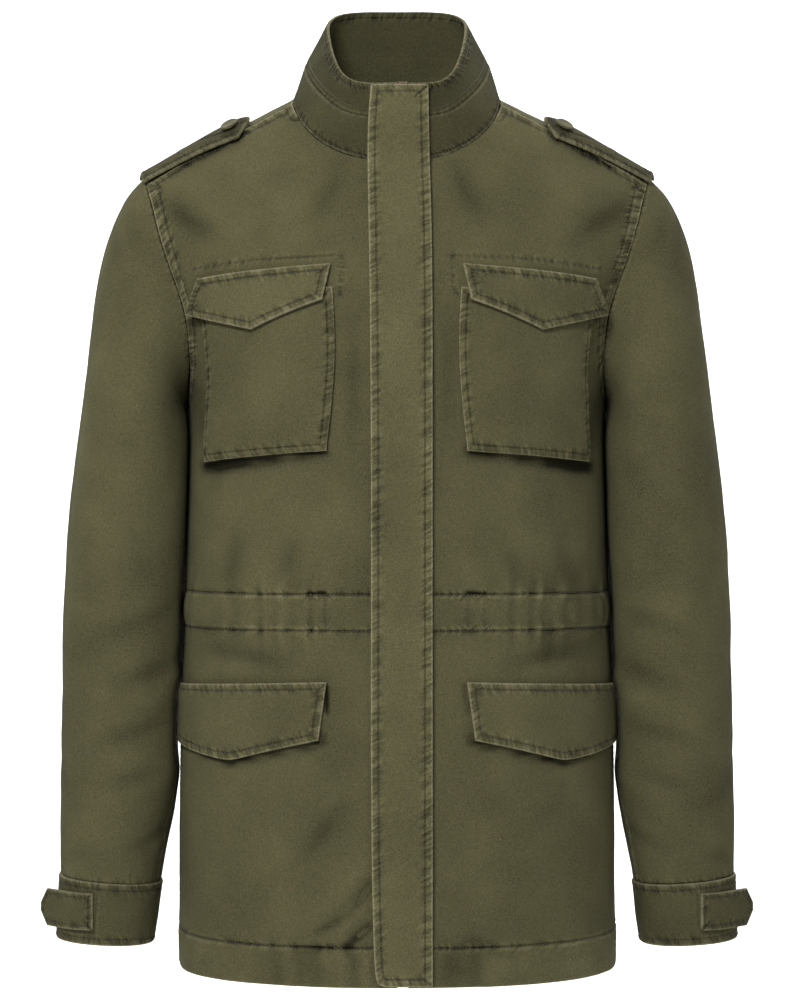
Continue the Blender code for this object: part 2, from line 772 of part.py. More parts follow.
# The collar: posts from the neck seam through the bands' seam to the top edge.
Post = namedtuple("Post", "turn seam_x seam_y seam_z top_x top_y top_z")
COLLAR_POSTS = (
    Post(-8, -11, -83, -26, -10, -77, 3),
    Post(0, 0, -83.2, -26, 0, -77.2, 3),
    Post(18, 24.5, -82.3, -25.5, 21, -76.3, 3),
    Post(38, 44.8, -78, -21, 37.8, -72, 5.5),
    Post(55, 59.8, -64.5, -8, 47.8, -61, 15),
    Post(72, 72.8, -38, 9, 54.8, -39, 33),
    Post(90, 78.8, -4, 27, 59.3, -8, 55),
    Post(108, 78.8, 17, 37, 60.8, 18, 70),
    Post(128, 65.3, 39, 43, 53.8, 39, 80),
    Post(150, 41.8, 53, 46, 35.8, 51, 85),
    Post(180, 0, 60, 47, 0, 56, 86),
)
COLLAR_BULGE = 1.2
COLLAR_LEVELS = (0.01, 0.33, 0.66, 1, 1.33, 1.66, 2)  # 0 is the neck seam, 1 the bands' seam, 2 the top
BANDS_SEAM = 3  # its place in the levels


def neck_columns():
    """(turn, hand) for each column of the collar, from the wearer's right front edge round the back."""
    right_front, back = neck_turns(ZIP_HALF_GAP - ZIP_X)
    left_front, _ = neck_turns(ZIP_HALF_GAP + ZIP_X)
    right = [(turn, -1) for turn in list(right_front) + list(back[1:])]
    left = [(turn, 1) for turn in list(left_front) + list(back[1:-1])]
    return right + left[::-1]


def post_point(turn, hand, which):
    """A place on the bands' seam ('seam') or the top edge ('top')."""
    degrees = math.degrees(turn)
    x, y, z = (float(curve(COLLAR_POSTS, "turn", f"{which}_{axis}")(degrees)) for axis in "xyz")
    return np.array([x * hand, y, z])


def collar_row(height):
    """One row of the collar. Its front edges run straight up beside the zip."""
    points = []
    for turn, hand in neck_columns():
        low = at_rise(*neck_place(turn)) * np.array([hand, 1, 1])
        seam = post_point(turn, hand, "seam")
        top = post_point(turn, hand, "top")
        start, end = (low, seam) if height <= 1 else (seam, top)
        share = height if height <= 1 else height - 1
        points.append(start + (end - start) * share)
    points[0][0] = ZIP_X - ZIP_HALF_GAP
    points[-1][0] = ZIP_X + ZIP_HALF_GAP
    return np.array(points)


def collar_surface():
    """The collar's outer side, row by row, and its outward normals."""
    rows = np.array([collar_row(height) for height in COLLAR_LEVELS])
    normals = -grid_normals(rows)
    bulge = COLLAR_BULGE * np.sin(np.pi * np.array(COLLAR_LEVELS)) ** 2
    return rows + normals * bulge[:, None, None], normals


def build_band(name, rows, normals, seam_row, material):
    """One band of the collar, drawn back by a gap where it meets the other one."""
    rows = rows.copy()
    beside = rows[1] if seam_row == 0 else rows[-2]
    away = beside - rows[seam_row]
    away /= np.linalg.norm(away, axis=1, keepdims=True)
    rows[seam_row] += away * SEAM_GAP
    cloth = Cloth()
    ids = [cloth.row(row, row - n * COLLAR_CLOTH) for row, n in zip(rows, normals)]
    cloth.sheet(ids)
    return cloth.build(name, material)


# What lies on the front's middle follows the fronts and then the collar.
NECK_SEAM_Z = NECK_FRONT
Strip = namedtuple("Strip", "height right_x left_x")
PLACKET = (
    Strip(-739.5, -10, 29),
    Strip(-737, -15, 29),
    Strip(-730, -17.5, 29),
    Strip(-709, -18.5, 29),
    Strip(-660, -20, 29),
    Strip(-553, -21, 29),
    Strip(-280, -21, 29),
    Strip(-174, -22, 29),
    Strip(-100, -23.5, 28.3),
    Strip(-59, -24.5, 27),
    Strip(-26, -23.5, 26.3),
    Strip(0.5, -21.5, 26),
)
PLACKET_STAND = 2.2
PLACKET_COLUMNS = 6
TAPE_BEHIND = 4.0
TAPE_EDGE = 1.2
TAPE_WIDTH = 12.0
TAPE_TOP = -3.0
TAPE_BOTTOM = HEM + 6


def middle_y(x, z):
    """The front's Y near the zip, on the fronts and on the collar above them."""
    if z <= NECK_SEAM_Z:
        return float(body_y(x, z, -1))
    turn = math.asin(min(1.0, abs(x) / NECK_HALF_WIDTH))
    low = at_rise(*neck_place(turn))
    seam = post_point(turn, 1, "seam")
    top = post_point(turn, 1, "top")
    heights = (low[2], seam[2], top[2], top[2] + 10)
    lean = (top[1] - seam[1]) / (top[2] - seam[2])
    return float(np.interp(z, heights, (low[1], seam[1], top[1], top[1] + 10 * lean)))


def middle_heights(bottom, top):
    """The heights of the fronts' own rows and the collar's, between two ends."""
    straight = FRONT_STEPS_ABOVE - NECK_FRONT_STEPS
    chest = list(np.linspace(UNDERARM, NECK_SEAM_Z, straight + 1))
    heights = [level.height for level in LEVELS[:-1]] + chest + [-45, -26, -14]
    inside = [z for z in heights if bottom + 3 < z < top - 3]
    return [bottom] + inside + [top]


def build_middle_strip(name, heights, edges, columns, off, thickness, material):
    """A strip up the front's middle, its inner face moved out by off."""
    base = []
    for z in heights:
        right_x, left_x = edges(z)
        base.append([(x, middle_y(x, z), z) for x in np.linspace(right_x, left_x, columns + 1)])
    base = np.array(base)
    normals = grid_normals(base)
    normals[:, :, 2] *= 0.5
    normals /= np.linalg.norm(normals, axis=2, keepdims=True)
    cloth = Cloth()
    ids = [
        cloth.row(row + normal * (off + thickness), row + normal * off)
        for row, normal in zip(base, normals)
    ]
    cloth.sheet(ids)
    return cloth.build(name, material)


def placket_edges(z):
    right = float(np.interp(z, [s.height for s in PLACKET], [s.right_x for s in PLACKET]))
    left = float(np.interp(z, [s.height for s in PLACKET], [s.left_x for s in PLACKET]))
    return right, left


def build_placket(material):
    bottom, top = PLACKET[0].height, PLACKET[-1].height
    heights = sorted(set(middle_heights(bottom, top) + [PLACKET[1].height, PLACKET[2].height]))
    return build_middle_strip(
        "placket", heights, placket_edges, PLACKET_COLUMNS, PLACKET_STAND, PLACKET_CLOTH, material
    )


def build_tape(name, hand, material):
    near, far = ZIP_X + hand * TAPE_EDGE, ZIP_X + hand * (TAPE_EDGE + TAPE_WIDTH)
    edges = (min(near, far), max(near, far))
    heights = middle_heights(TAPE_BOTTOM, TAPE_TOP)
    behind = -TAPE_BEHIND - TAPE_CLOTH
    return build_middle_strip(name, heights, lambda z: edges, 2, behind, TAPE_CLOTH, material)


# Pockets and flaps, laid on the fronts. Their corners are for the wearer's left.
Corner = namedtuple("Corner", "x height")
CHEST_FLAP_TOP = (Corner(54, -152), Corner(164, -161))
CHEST_FLAP_LOW = (Corner(60, -182), Corner(117, -205), Corner(171, -189))
HIP_FLAP_TOP = (Corner(57, -493.5), Corner(180.5, -500))
HIP_FLAP_LOW = (Corner(63.5, -541), Corner(137.5, -560), Corner(186.4, -547))
POCKET_MOUTH = (Corner(56, -171), Corner(163.5, -178))
POCKET_FOOT = (Corner(60.5, -301), Corner(157.5, -309))
POCKET_WAIST = 1.5  # how far the face widens half way down
GUSSET_INNER = 3.5
GUSSET_OUTER = 1.8
GUSSET_LOWER = 4.0
FLAP_COLUMNS = 12
FLAP_ROWS = 5
POCKET_COLUMNS = 9
POCKET_ROWS = 9
POCKET_STAND = 4.7
POCKET_FOOT_STAND = 2.0
FLAP_RISE = 5.6


def laid(turn, z, off):
    """A place on a front's outer side, folds included, moved out by off. Turn is below zero on the left."""
    base = around_body(turn, z)
    normal = body_normal(base)
    return base + normal * (off + front_folds(base[0], base[2]))


def between(corners, share):
    """A place along a run of corners, as (turn, height): 0 is the first corner and 1 the last."""
    turns = [turn_at(-corner.x, corner.height) for corner in corners]
    heights = [corner.height for corner in corners]
    stops = np.linspace(0, 1, len(corners))
    return np.array([np.interp(share, stops, turns), np.interp(share, stops, heights)])


def build_flap(name, hand, top, low, rise, material):
    """A pointed flap: its top lies on the front, and it stands off by rise at its lower edge."""
    cloth = Cloth()
    rows = []
    for row in range(FLAP_ROWS + 1):
        v = row / FLAP_ROWS
        stand = LAY_GAP + rise * v
        outer, inner = [], []
        for column in range(FLAP_COLUMNS + 1):
            u = column / FLAP_COLUMNS
            turn, z = between(top, u) * (1 - v) + between(low, u) * v
            outer.append(laid(-turn * hand, z, stand + FLAP_CLOTH))
            inner.append(laid(-turn * hand, z, stand))
        rows.append(cloth.row(outer, inner))
    cloth.sheet(rows)
    return cloth.build(name, material)


def build_pocket(name, hand, material):
    """A bellows pocket: a face that stands off the front, and a gusset down to it on three sides."""
    columns = [-1] + list(np.linspace(0, 1, POCKET_COLUMNS + 1)) + [2]
    rows = list(np.linspace(0, 1, POCKET_ROWS + 1)) + [2]
    base = []
    for v in rows:
        line = []
        for u in columns:
            inside_u, inside_v = min(1, max(0, u)), min(1, v)
            turn, z = between(POCKET_MOUTH, inside_u) * (1 - inside_v)
            turn, z = np.array([turn, z]) + between(POCKET_FOOT, inside_u) * inside_v
            x = abs(around_body(turn, z)[0])
            x += POCKET_WAIST * math.sin(math.pi * inside_v) * (2 * inside_u - 1)
            x -= GUSSET_INNER if u < 0 else 0
            x += GUSSET_OUTER if u > 1 else 0
            z -= GUSSET_LOWER if v > 1 else 0
            rise = min(1.0, inside_v / 0.3)
            face = POCKET_FOOT_STAND + (POCKET_STAND - POCKET_FOOT_STAND) * rise
            off = face if 0 <= u <= 1 and v <= 1 else POCKET_FOOT_STAND
            line.append(laid(turn_at(-x, z) * -hand, z, off))
        base.append(line)
    base = np.array(base)
    normals = grid_normals(base)
    if (normals[:, :, 1].mean()) > 0:
        normals = -normals
    half = normals * POCKET_CLOTH / 2
    cloth = Cloth()
    cloth.sheet([cloth.row(row + n, row - n) for row, n in zip(base, half)])
    return cloth.build(name, material)


# Epaulettes and their buttons.
Strap = namedtuple("Strap", "front_x back_x front_y back_y stand")
EPAULETTE = (
    Strap(214.5, 221, -26, 12, 2.2),
    Strap(206, 208, -29, 10, 2.0),
    Strap(190, 190, -34, 6, 2.2),
    Strap(172, 172, -38, 1, 2.2),
    Strap(152, 152, -43, -7, 1.8),
    Strap(133, 133, -46.5, -13, 1.4),
    Strap(124.5, 124.5, -35, -27, 1.2),
)
EPAULETTE_COLUMNS = 6
BUTTON_X = 140.0
BUTTON_Y = -31.0
BUTTON_STAND = 5.0
Turned = namedtuple("Turned", "radius height")
BUTTON_PROFILE = (
    Turned(0, 0),
    Turned(6.4, 0),
    Turned(8.2, 1.2),
    Turned(8.2, 2.2),
    Turned(7.2, 3.0),
    Turned(6.2, 2.6),
    Turned(3.4, 1.9),
    Turned(0, 1.7),
)
BUTTON_SIDES = 20


def on_shoulder(x, y, off):
    """A place on the wearer's left shoulder as seen from above, moved out by off."""
    base = np.array([x, y, body_z(x, y)])
    return base + body_normal(base) * off


def build_epaulette(name, hand, material):
    cloth = Cloth()
    flip = np.array([hand, 1, 1])
    rows = []
    for strap in EPAULETTE:
        xs = np.linspace(strap.front_x, strap.back_x, EPAULETTE_COLUMNS + 1)
        ys = np.linspace(strap.front_y, strap.back_y, EPAULETTE_COLUMNS + 1)
        inner = np.array([on_shoulder(x, y, strap.stand) for x, y in zip(xs, ys)])
        outer = np.array([on_shoulder(x, y, strap.stand + EPAULETTE_CLOTH) for x, y in zip(xs, ys)])
        rows.append(cloth.row(outer * flip, inner * flip))
    cloth.sheet(rows)
    return cloth.build(name, material)


def build_button(name, hand, material):
    points, faces = [], []
    for row in BUTTON_PROFILE:
        if row.radius == 0:
            points.append((0, 0, row.height))
            continue
        for i in range(BUTTON_SIDES):
            turn = 2 * math.pi * i / BUTTON_SIDES
            points.append((row.radius * math.cos(turn), row.radius * math.sin(turn), row.height))
    last = len(points) - 1
    rings = len(BUTTON_PROFILE) - 2
    for i in range(BUTTON_SIDES):
        j = (i + 1) % BUTTON_SIDES
        faces.append((0, 1 + j, 1 + i))
        for ring in range(rings - 1):
            a = 1 + ring * BUTTON_SIDES
            b = a + BUTTON_SIDES
            faces.append((a + i, a + j, b + j, b + i))
        top = 1 + (rings - 1) * BUTTON_SIDES
        faces.append((top + i, top + j, last))
    mesh = bpy.data.meshes.new(name)
    mesh.from_pydata((np.array(points, float) * MM).tolist(), [], faces)
    mesh.shade_smooth()
    mesh.set_sharp_from_angle(angle=math.radians(40))
    button = bpy.data.objects.new(name, mesh)
    base = np.array([BUTTON_X, BUTTON_Y, body_z(BUTTON_X, BUTTON_Y)])
    normal = body_normal(base)
    at = (base + normal * BUTTON_STAND) * np.array([hand, 1, 1])
    button.location = (at * MM).tolist()
    button.rotation_euler = Vector((normal[0] * hand, normal[1], normal[2])).to_track_quat("Z", "Y").to_euler()
    return place(button, material)


# The zip's slider and pull, built of filled cells between planes.
# across is to the wearer's left, out is away from the wearer, up is along the collar.
SLIDER_ACROSS = (-4.0, -0.8, 0.8, 4.0)
SLIDER_OUT = (-7.0, -5.4, -3.6, -1.9, -0.3, 0.9)
SLIDER_UP = (-10.0, -7.0, -5.5, -1.5, 0.0, 3.0)
PULL_ACROSS = (-3.0, -1.3, 1.3, 3.0)
PULL_OUT = (-1.6, -0.6)
PULL_UP = (-30.0, -8.5, -4.2, -2.6)
SLIDER_HEIGHT = 1.5
BEVEL = 0.25


def slider_filled(across, out, up):
    plate = out in (0, 2)
    post = out == 1 and across == 1 and up == 4
    leg = out == 3 and across == 1 and up in (1, 3)
    bar = out == 4 and across == 1 and 1 <= up <= 3
    return plate or post or leg or bar


def pull_filled(across, out, up):
    return not (across == 1 and up == 1)


def build_cells(name, planes, filled, material):
    """The faces between the filled cells of a grid and the empty ones."""
    counts = [len(axis) - 1 for axis in planes]
    cells = {
        (i, j, k)
        for i in range(counts[0])
        for j in range(counts[1])
        for k in range(counts[2])
        if filled(i, j, k)
    }
    points, ids, faces = [], {}, []

    def corner(key):
        if key not in ids:
            ids[key] = len(points)
            x, out, z = (planes[axis][key[axis]] for axis in range(3))
            points.append((x * MM, -out * MM, z * MM))
        return ids[key]

    for cell in cells:
        for axis in range(3):
            for side in (0, 1):
                beside = list(cell)
                beside[axis] += 1 if side else -1
                if tuple(beside) in cells:
                    continue
                b, c = (axis + 1) % 3, (axis + 2) % 3
                loop = []
                for db, dc in ((0, 0), (1, 0), (1, 1), (0, 1)):
                    key = list(cell)
                    key[axis] += side
                    key[b] += db
                    key[c] += dc
                    loop.append(corner(tuple(key)))
                faces.append(loop)
    mesh = bpy.data.meshes.new(name)
    mesh.from_pydata(points, [], faces)
    work = bmesh.new()
    work.from_mesh(mesh)
    bmesh.ops.recalc_face_normals(work, faces=work.faces)
    bmesh.ops.dissolve_limit(work, angle_limit=0.01, verts=work.verts, edges=work.edges)
    work.to_mesh(mesh)
    work.free()
    obj = bpy.data.objects.new(name, mesh)
    bevel = obj.modifiers.new("bevel", "BEVEL")
    bevel.width = BEVEL * MM
    bevel.segments = 1
    return place(obj, material)


def material_of(name, colour, roughness, metallic=0.0):
    material = bpy.data.materials.new(name)
    material.use_nodes = True
    shader = material.node_tree.nodes["Principled BSDF"]
    shader.inputs["Base Color"].default_value = (*colour, 1)
    shader.inputs["Roughness"].default_value = roughness
    shader.inputs["Metallic"].default_value = metallic
    return material


def main():
    twill = material_of("twill", OLIVE, 0.9)
    tape = material_of("zip_tape", TAPE_OLIVE, 0.95)
    plastic = material_of("button_plastic", BUTTON_OLIVE, 0.45)
    brass = material_of("dark_brass", BRASS, 0.4, 1.0)

    build_back("back", twill)
    rings, normals = sleeve_surface()
    cuffs, cuff_normals = cuff_rings()
    for side, hand in (("right", -1), ("left", 1)):
        build_front(f"front_{side}", hand, twill)
        tube(f"sleeve_{side}", rings, normals, SLEEVE_CLOTH, hand, twill)
        tube(f"cuff_{side}", cuffs, cuff_normals, CUFF_CLOTH, hand, twill)
        build_tab(f"cuff_tab_{side}", hand, twill)
        build_epaulette(f"epaulette_{side}", hand, twill)
        build_button(f"epaulette_button_{side}", hand, plastic)
        build_pocket(f"chest_pocket_{side}", hand, twill)
        build_flap(f"chest_flap_{side}", hand, CHEST_FLAP_TOP, CHEST_FLAP_LOW, FLAP_RISE, twill)
        build_flap(f"hip_flap_{side}", hand, HIP_FLAP_TOP, HIP_FLAP_LOW, 0.0, twill)
        build_tape(f"zip_tape_{side}", hand, tape)
    collar, collar_normals = collar_surface()
    lower, upper = slice(0, BANDS_SEAM + 1), slice(BANDS_SEAM, None)
    build_band("collar_band", collar[lower], collar_normals[lower], -1, twill)
    build_band("collar_stand", collar[upper], collar_normals[upper], 0, twill)
    build_placket(twill)
    slider = build_cells("zip_slider", (SLIDER_ACROSS, SLIDER_OUT, SLIDER_UP), slider_filled, brass)
    seam, top = post_point(0, 1, "seam"), post_point(0, 1, "top")
    slider.location = (ZIP_X * MM, middle_y(ZIP_X, SLIDER_HEIGHT) * MM, SLIDER_HEIGHT * MM)
    slider.rotation_euler[0] = -math.atan2(top[1] - seam[1], top[2] - seam[2])
    pull = build_cells("zip_pull", (PULL_ACROSS, PULL_OUT, PULL_UP), pull_filled, brass)
    pull.parent = slider


for old in list(bpy.data.objects):
    bpy.data.objects.remove(old)
JACKET = bpy.data.collections.new("safari_jacket")
bpy.context.scene.collection.children.link(JACKET)
main()
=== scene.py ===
"""The safari jacket's cloth, sewing and trim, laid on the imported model, with its light and camera."""

import math
from collections import namedtuple

import bmesh
import bpy
import numpy as np
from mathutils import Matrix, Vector
from mathutils.bvhtree import BVHTree
from mathutils.kdtree import KDTree


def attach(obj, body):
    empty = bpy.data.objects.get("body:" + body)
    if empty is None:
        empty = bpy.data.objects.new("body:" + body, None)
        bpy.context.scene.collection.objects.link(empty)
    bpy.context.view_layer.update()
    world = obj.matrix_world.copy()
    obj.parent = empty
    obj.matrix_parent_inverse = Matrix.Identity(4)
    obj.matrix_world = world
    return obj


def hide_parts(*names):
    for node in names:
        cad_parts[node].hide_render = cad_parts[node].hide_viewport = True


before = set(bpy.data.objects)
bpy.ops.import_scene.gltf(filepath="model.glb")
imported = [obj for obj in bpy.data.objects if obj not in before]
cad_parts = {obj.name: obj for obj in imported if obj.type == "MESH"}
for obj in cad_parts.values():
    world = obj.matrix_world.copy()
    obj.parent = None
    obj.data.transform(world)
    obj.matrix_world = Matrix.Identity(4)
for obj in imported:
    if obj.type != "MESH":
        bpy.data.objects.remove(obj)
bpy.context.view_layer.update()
MM = 0.001

# Heights and places of the sewing, in millimetres: +X is the wearer's left, -Y the front.
HEM = -741.0
HEM_STITCH = -709.0
CASING_TOP = -422.0
CASING_BOTTOM = -452.0
ZIP_X = 5.0
STITCH_PITCH = 3.1
THREAD = 0.34
PUCKER = 6.2
WELT = 9.2
SEAM_STITCH = 6.2
HANDS = (("right", -1), ("left", 1))


# Numbers that vary smoothly from place to place.
def lattice(cells, seed):
    """Even random numbers from -1 to 1 for whole cells."""
    mixed = (cells[..., 0] * 73856093) ^ (cells[..., 1] * 19349663) ^ (cells[..., 2] * 83492791)
    mixed = (mixed ^ (seed * 2654435761)) & 0xFFFFFFFF
    mixed = ((mixed ^ (mixed >> 15)) * 2246822519) & 0xFFFFFFFF
    mixed = ((mixed ^ (mixed >> 13)) * 3266489917) & 0xFFFFFFFF
    return ((mixed ^ (mixed >> 16)) & 0xFFFF) / 32767.5 - 1.0


def noise(points, size, seed=0):
    """Smooth noise of about -1 to 1, its lumps about size millimetres across; size may differ by axis."""
    at = np.asarray(points, float) / np.asarray(size, float)
    cell = np.floor(at).astype(np.int64)
    t = at - cell
    t = t * t * (3 - 2 * t)
    total = 0.0
    for corner in range(8):
        step = np.array([corner & 1, corner >> 1 & 1, corner >> 2 & 1])
        share = np.prod(np.where(step, t, 1 - t), axis=-1)
        total = total + share * lattice(cell + step, seed)
    return total


def line_noise(along, size, seed=0):
    points = np.zeros((len(along), 3))
    points[:, 0] = along
    points[:, 1] = seed * 7.3
    return noise(points, size, seed)


def smooth(value, low, high):
    """0 at low, 1 at high, and smooth between them."""
    t = np.clip((value - low) / (high - low), 0, 1)
    return t * t * (3 - 2 * t)


def bump(value, middle, width):
    return np.exp(-(((value - middle) / width) ** 2))


# Taking the outer side of a solid's wall.
def away_from_body(points):
    return np.stack([points[:, 0], points[:, 1] * 1.4, np.zeros(len(points))], axis=1)


def away_from_sleeve(points):
    centre_x = np.interp(-points[:, 2], (80, 270, 440, 600, 720), (205, 228, 239, 241, 250))
    centre_y = np.interp(-points[:, 2], (80, 270, 440, 600, 720), (2, 0, 0, -7, -11))
    side = np.sign(points[:, 0])
    return np.stack([points[:, 0] - side * centre_x, points[:, 1] - centre_y, np.zeros(len(points))], axis=1)


def to_front(points):
    return np.tile((0.0, -1.0, 0.0), (len(points), 1))


def to_top(points):
    return np.tile((0.0, -0.3, 1.0), (len(points), 1))


def away_from_neck(points):
    return np.stack([points[:, 0], points[:, 1] + 10, np.zeros(len(points))], axis=1)


def wall_sides(node, away):
    """The wall's outer side and inner side as (points in mm, faces)."""
    work = bmesh.new()
    work.from_mesh(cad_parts[node].data)
    bmesh.ops.remove_doubles(work, verts=work.verts, dist=1e-6)
    bmesh.ops.recalc_face_normals(work, faces=work.faces)
    work.faces.ensure_lookup_table()
    group = [-1] * len(work.faces)
    areas = []
    limit = math.radians(48)
    for face in work.faces:
        if group[face.index] >= 0:
            continue
        label = len(areas)
        group[face.index] = label
        stack, area = [face], 0.0
        while stack:
            here = stack.pop()
            area += here.calc_area()
            for edge in here.edges:
                if len(edge.link_faces) == 2 and edge.calc_face_angle(0.0) < limit:
                    for other in edge.link_faces:
                        if group[other.index] < 0:
                            group[other.index] = label
                            stack.append(other)
        areas.append(area)
    largest = sorted(range(len(areas)), key=lambda label: -areas[label])[:2]
    scores = []
    for label in largest:
        faces = [f for f in work.faces if group[f.index] == label]
        middles = np.array([f.calc_center_median() for f in faces]) / MM
        normals = np.array([f.normal for f in faces])
        weights = np.array([f.calc_area() for f in faces])
        scores.append(float(((normals * away(middles)).sum(axis=1) * weights).sum()))
    if scores[0] < scores[1]:
        largest.reverse()
    sides = []
    for label in largest:
        side = work.copy()
        side.faces.ensure_lookup_table()
        drop = [side.faces[i] for i in range(len(group)) if group[i] != label]
        bmesh.ops.delete(side, geom=drop, context="FACES")
        bmesh.ops.join_triangles(side, faces=side.faces, angle_face_threshold=1.2, angle_shape_threshold=1.2)
        side.verts.ensure_lookup_table()
        side.verts.index_update()
        points = np.array([v.co for v in side.verts]) / MM
        faces = [[v.index for v in f.verts] for f in side.faces]
        sides.append((points, faces))
        side.free()
    work.free()
    return sides


def finer(points, faces, levels, name="finer"):
    """A subdivision surface of a sheet, its boundary kept through its own corners."""
    mesh = bpy.data.meshes.new(name)
    mesh.from_pydata((points * MM).tolist(), [], faces)
    work = bmesh.new()
    work.from_mesh(mesh)
    layer = work.edges.layers.float.new("crease_edge")
    corner = work.verts.layers.float.new("crease_vert")
    for vert in work.verts:
        rim = [e for e in vert.link_edges if e.is_boundary]
        if len(rim) == 2:
            a = (rim[0].other_vert(vert).co - vert.co).normalized()
            b = (rim[1].other_vert(vert).co - vert.co).normalized()
            if a.dot(b) > -0.82:
                vert[corner] = 1.0
    for edge in work.edges:
        if edge.is_boundary:
            edge[layer] = 1.0
    work.to_mesh(mesh)
    work.free()
    obj = bpy.data.objects.new(name, mesh)
    bpy.context.scene.collection.objects.link(obj)
    subdivide = obj.modifiers.new("subdivide", "SUBSURF")
    subdivide.levels = subdivide.render_levels = levels
    subdivide.boundary_smooth = "PRESERVE_CORNERS"
    evaluated = obj.evaluated_get(bpy.context.evaluated_depsgraph_get())
    result = evaluated.to_mesh()
    new_points = np.empty(len(result.vertices) * 3)
    result.vertices.foreach_get("co", new_points)
    new_faces = [list(p.vertices) for p in result.polygons]
    evaluated.to_mesh_clear()
    bpy.data.objects.remove(obj)
    bpy.data.meshes.remove(mesh)
    return new_points.reshape(-1, 3) / MM, new_faces


def normals_of(points, faces):
    total = np.zeros_like(points)
    quads = np.array([f if len(f) == 4 else [f[0], f[1], f[2], f[2]] for f in faces])
    a, b, c, d = (points[quads[:, i]] for i in range(4))
    face = np.cross(c - a, d - b)
    three = quads[:, 2] == quads[:, 3]
    face[three] = np.cross(b[three] - a[three], c[three] - a[three])
    for i in range(4):
        np.add.at(total, quads[:, i], face)
    return total / np.maximum(np.linalg.norm(total, axis=1, keepdims=True), 1e-12)


def loops_of(faces):
    """The boundary's vertex loops, each walked with the sheet on its left."""
    edges = {}
    for face in faces:
        for a, b in zip(face, face[1:] + face[:1]):
            edges[(a, b)] = True
    follow = {a: b for a, b in edges if (b, a) not in edges}
    loops = []
    while follow:
        start, here = next(iter(follow.items()))
        loop = [start]
        del follow[start]
        while here != start and here in follow:
            loop.append(here)
            here = follow.pop(here)
        loops.append(loop)
    return sorted(loops, key=len, reverse=True)


class Line:
    """A run of points on or beside the cloth: distance from it, and place along it, for any points."""

    def __init__(self, points, closed=False):
        points = np.asarray(points, float)
        if closed:
            points = np.vstack([points, points[:1]])
        steps = np.linalg.norm(np.diff(points, axis=0), axis=1)
        stops = np.concatenate([[0], np.cumsum(steps)])
        self.length = float(stops[-1])
        count = max(2, int(self.length / 0.7))
        self.along = np.linspace(0, self.length, count)
        self.points = np.stack([np.interp(self.along, stops, points[:, i]) for i in range(3)], axis=1)
        self.tree = KDTree(count)
        for i, p in enumerate(self.points):
            self.tree.insert(p, i)
        self.tree.balance()

    def near(self, points, reach=1e9):
        """Distance and place along the line for points; those past reach are given a far distance."""
        off = np.full(len(points), 999.0)
        along = np.zeros(len(points))
        low = self.points.min(axis=0) - reach
        high = self.points.max(axis=0) + reach
        for i in np.nonzero(((points >= low) & (points <= high)).all(axis=1))[0]:
            _, index, distance = self.tree.find(points[i])
            off[i] = distance
            along[i] = self.along[index]
        return off, along


def split_near(points, faces, lines, reach):
    """Splits in four the faces that lie near any of the lines."""
    close = np.zeros(len(points), bool)
    for line in lines:
        off, _ = line.near(points, reach + 3)
        close |= off < reach
    mesh = bpy.data.meshes.new("split")
    mesh.from_pydata(points.tolist(), [], faces)
    work = bmesh.new()
    work.from_mesh(mesh)
    bpy.data.meshes.remove(mesh)
    chosen = [f for f in work.faces if any(close[v.index] for v in f.verts)]
    edges = list({e for f in chosen for e in f.edges})
    bmesh.ops.subdivide_edges(work, edges=edges, cuts=1, use_grid_fill=True)
    many = [f for f in work.faces if len(f.verts) > 4]
    bmesh.ops.triangulate(work, faces=many)
    work.verts.ensure_lookup_table()
    work.verts.index_update()
    new_points = np.array([v.co for v in work.verts])
    new_faces = [[v.index for v in f.verts] for f in work.faces]
    work.free()
    return new_points, new_faces


class Panel:
    """The outer side of a piece of cloth, ready for its relief."""

    def __init__(self, node, away, levels, lines=(), reach=10.5, splits=0):
        self.node = node
        outer, self.inside = wall_sides(node, away)
        self.points, self.faces = finer(*outer, levels)
        for _ in range(splits):
            rims = [Line(self.points[loop], closed=True) for loop in loops_of(self.faces)]
            self.points, self.faces = split_near(self.points, self.faces, rims + list(lines), reach)
        self.base = self.points.copy()
        self.normals = normals_of(self.points, self.faces)
        self.relief = np.zeros(len(self.points))
        self.wear_and_shade = np.zeros(len(self.points))
        self.seam = np.tile((99.0, 0.0, 0.0), (len(self.points), 1))
        self.pull = np.zeros(len(self.points))
        self.pull_inside = np.zeros(len(self.points))
        self.loops = loops_of(self.faces)
        self.rims = [Line(self.points[loop], closed=True) for loop in self.loops]

    @property
    def x(self):
        return self.base[:, 0]

    @property
    def y(self):
        return self.base[:, 1]

    @property
    def z(self):
        return self.base[:, 2]

    def edge(self, reach=40.0):
        """Distance from the nearest boundary and place along it."""
        best, along = self.rims[0].near(self.base, reach)
        for rim in self.rims[1:]:
            off, place = rim.near(self.base, reach)
            closer = off < best
            best = np.where(closer, off, best)
            along = np.where(closer, place, along)
        return best, along

    def meet(self, *others):
        """Brings the edge up to the edges of the pieces that it is sewn to."""
        for other in others:
            for loop in self.loops:
                for i in loop:
                    at, _, distance = SEAMS[other].tree.find(self.base[i])
                    if 0.01 < distance < 1.5:
                        self.base[i] += (np.array(at) - self.base[i]) * 0.56

    def lift(self, height):
        self.relief += height

    # Shifts the cloth's colour: above zero paler where it has rubbed, below zero darker for stitch lines and
    # for painted shade in hollows, under pockets and flaps and where pieces meet.
    def age_and_shade(self, amount):
        self.wear_and_shade += amount

    def sewn(self, off, along, at=0.0, pull=1.0, inside=True):
        """Notes sewing at a distance from an edge or a line, whose ruckles and rubbing the material draws."""
        closer = (off < at + 12) & (off < self.seam[:, 0])
        self.seam[closer] = np.stack([off, along, np.full(len(off), at)], axis=1)[closer]
        self.pull[closer] = pull
        self.pull_inside[closer] = pull if inside else 0.0

    def shape(self):
        self.points = self.base + self.normals * self.relief[:, None]
        return self


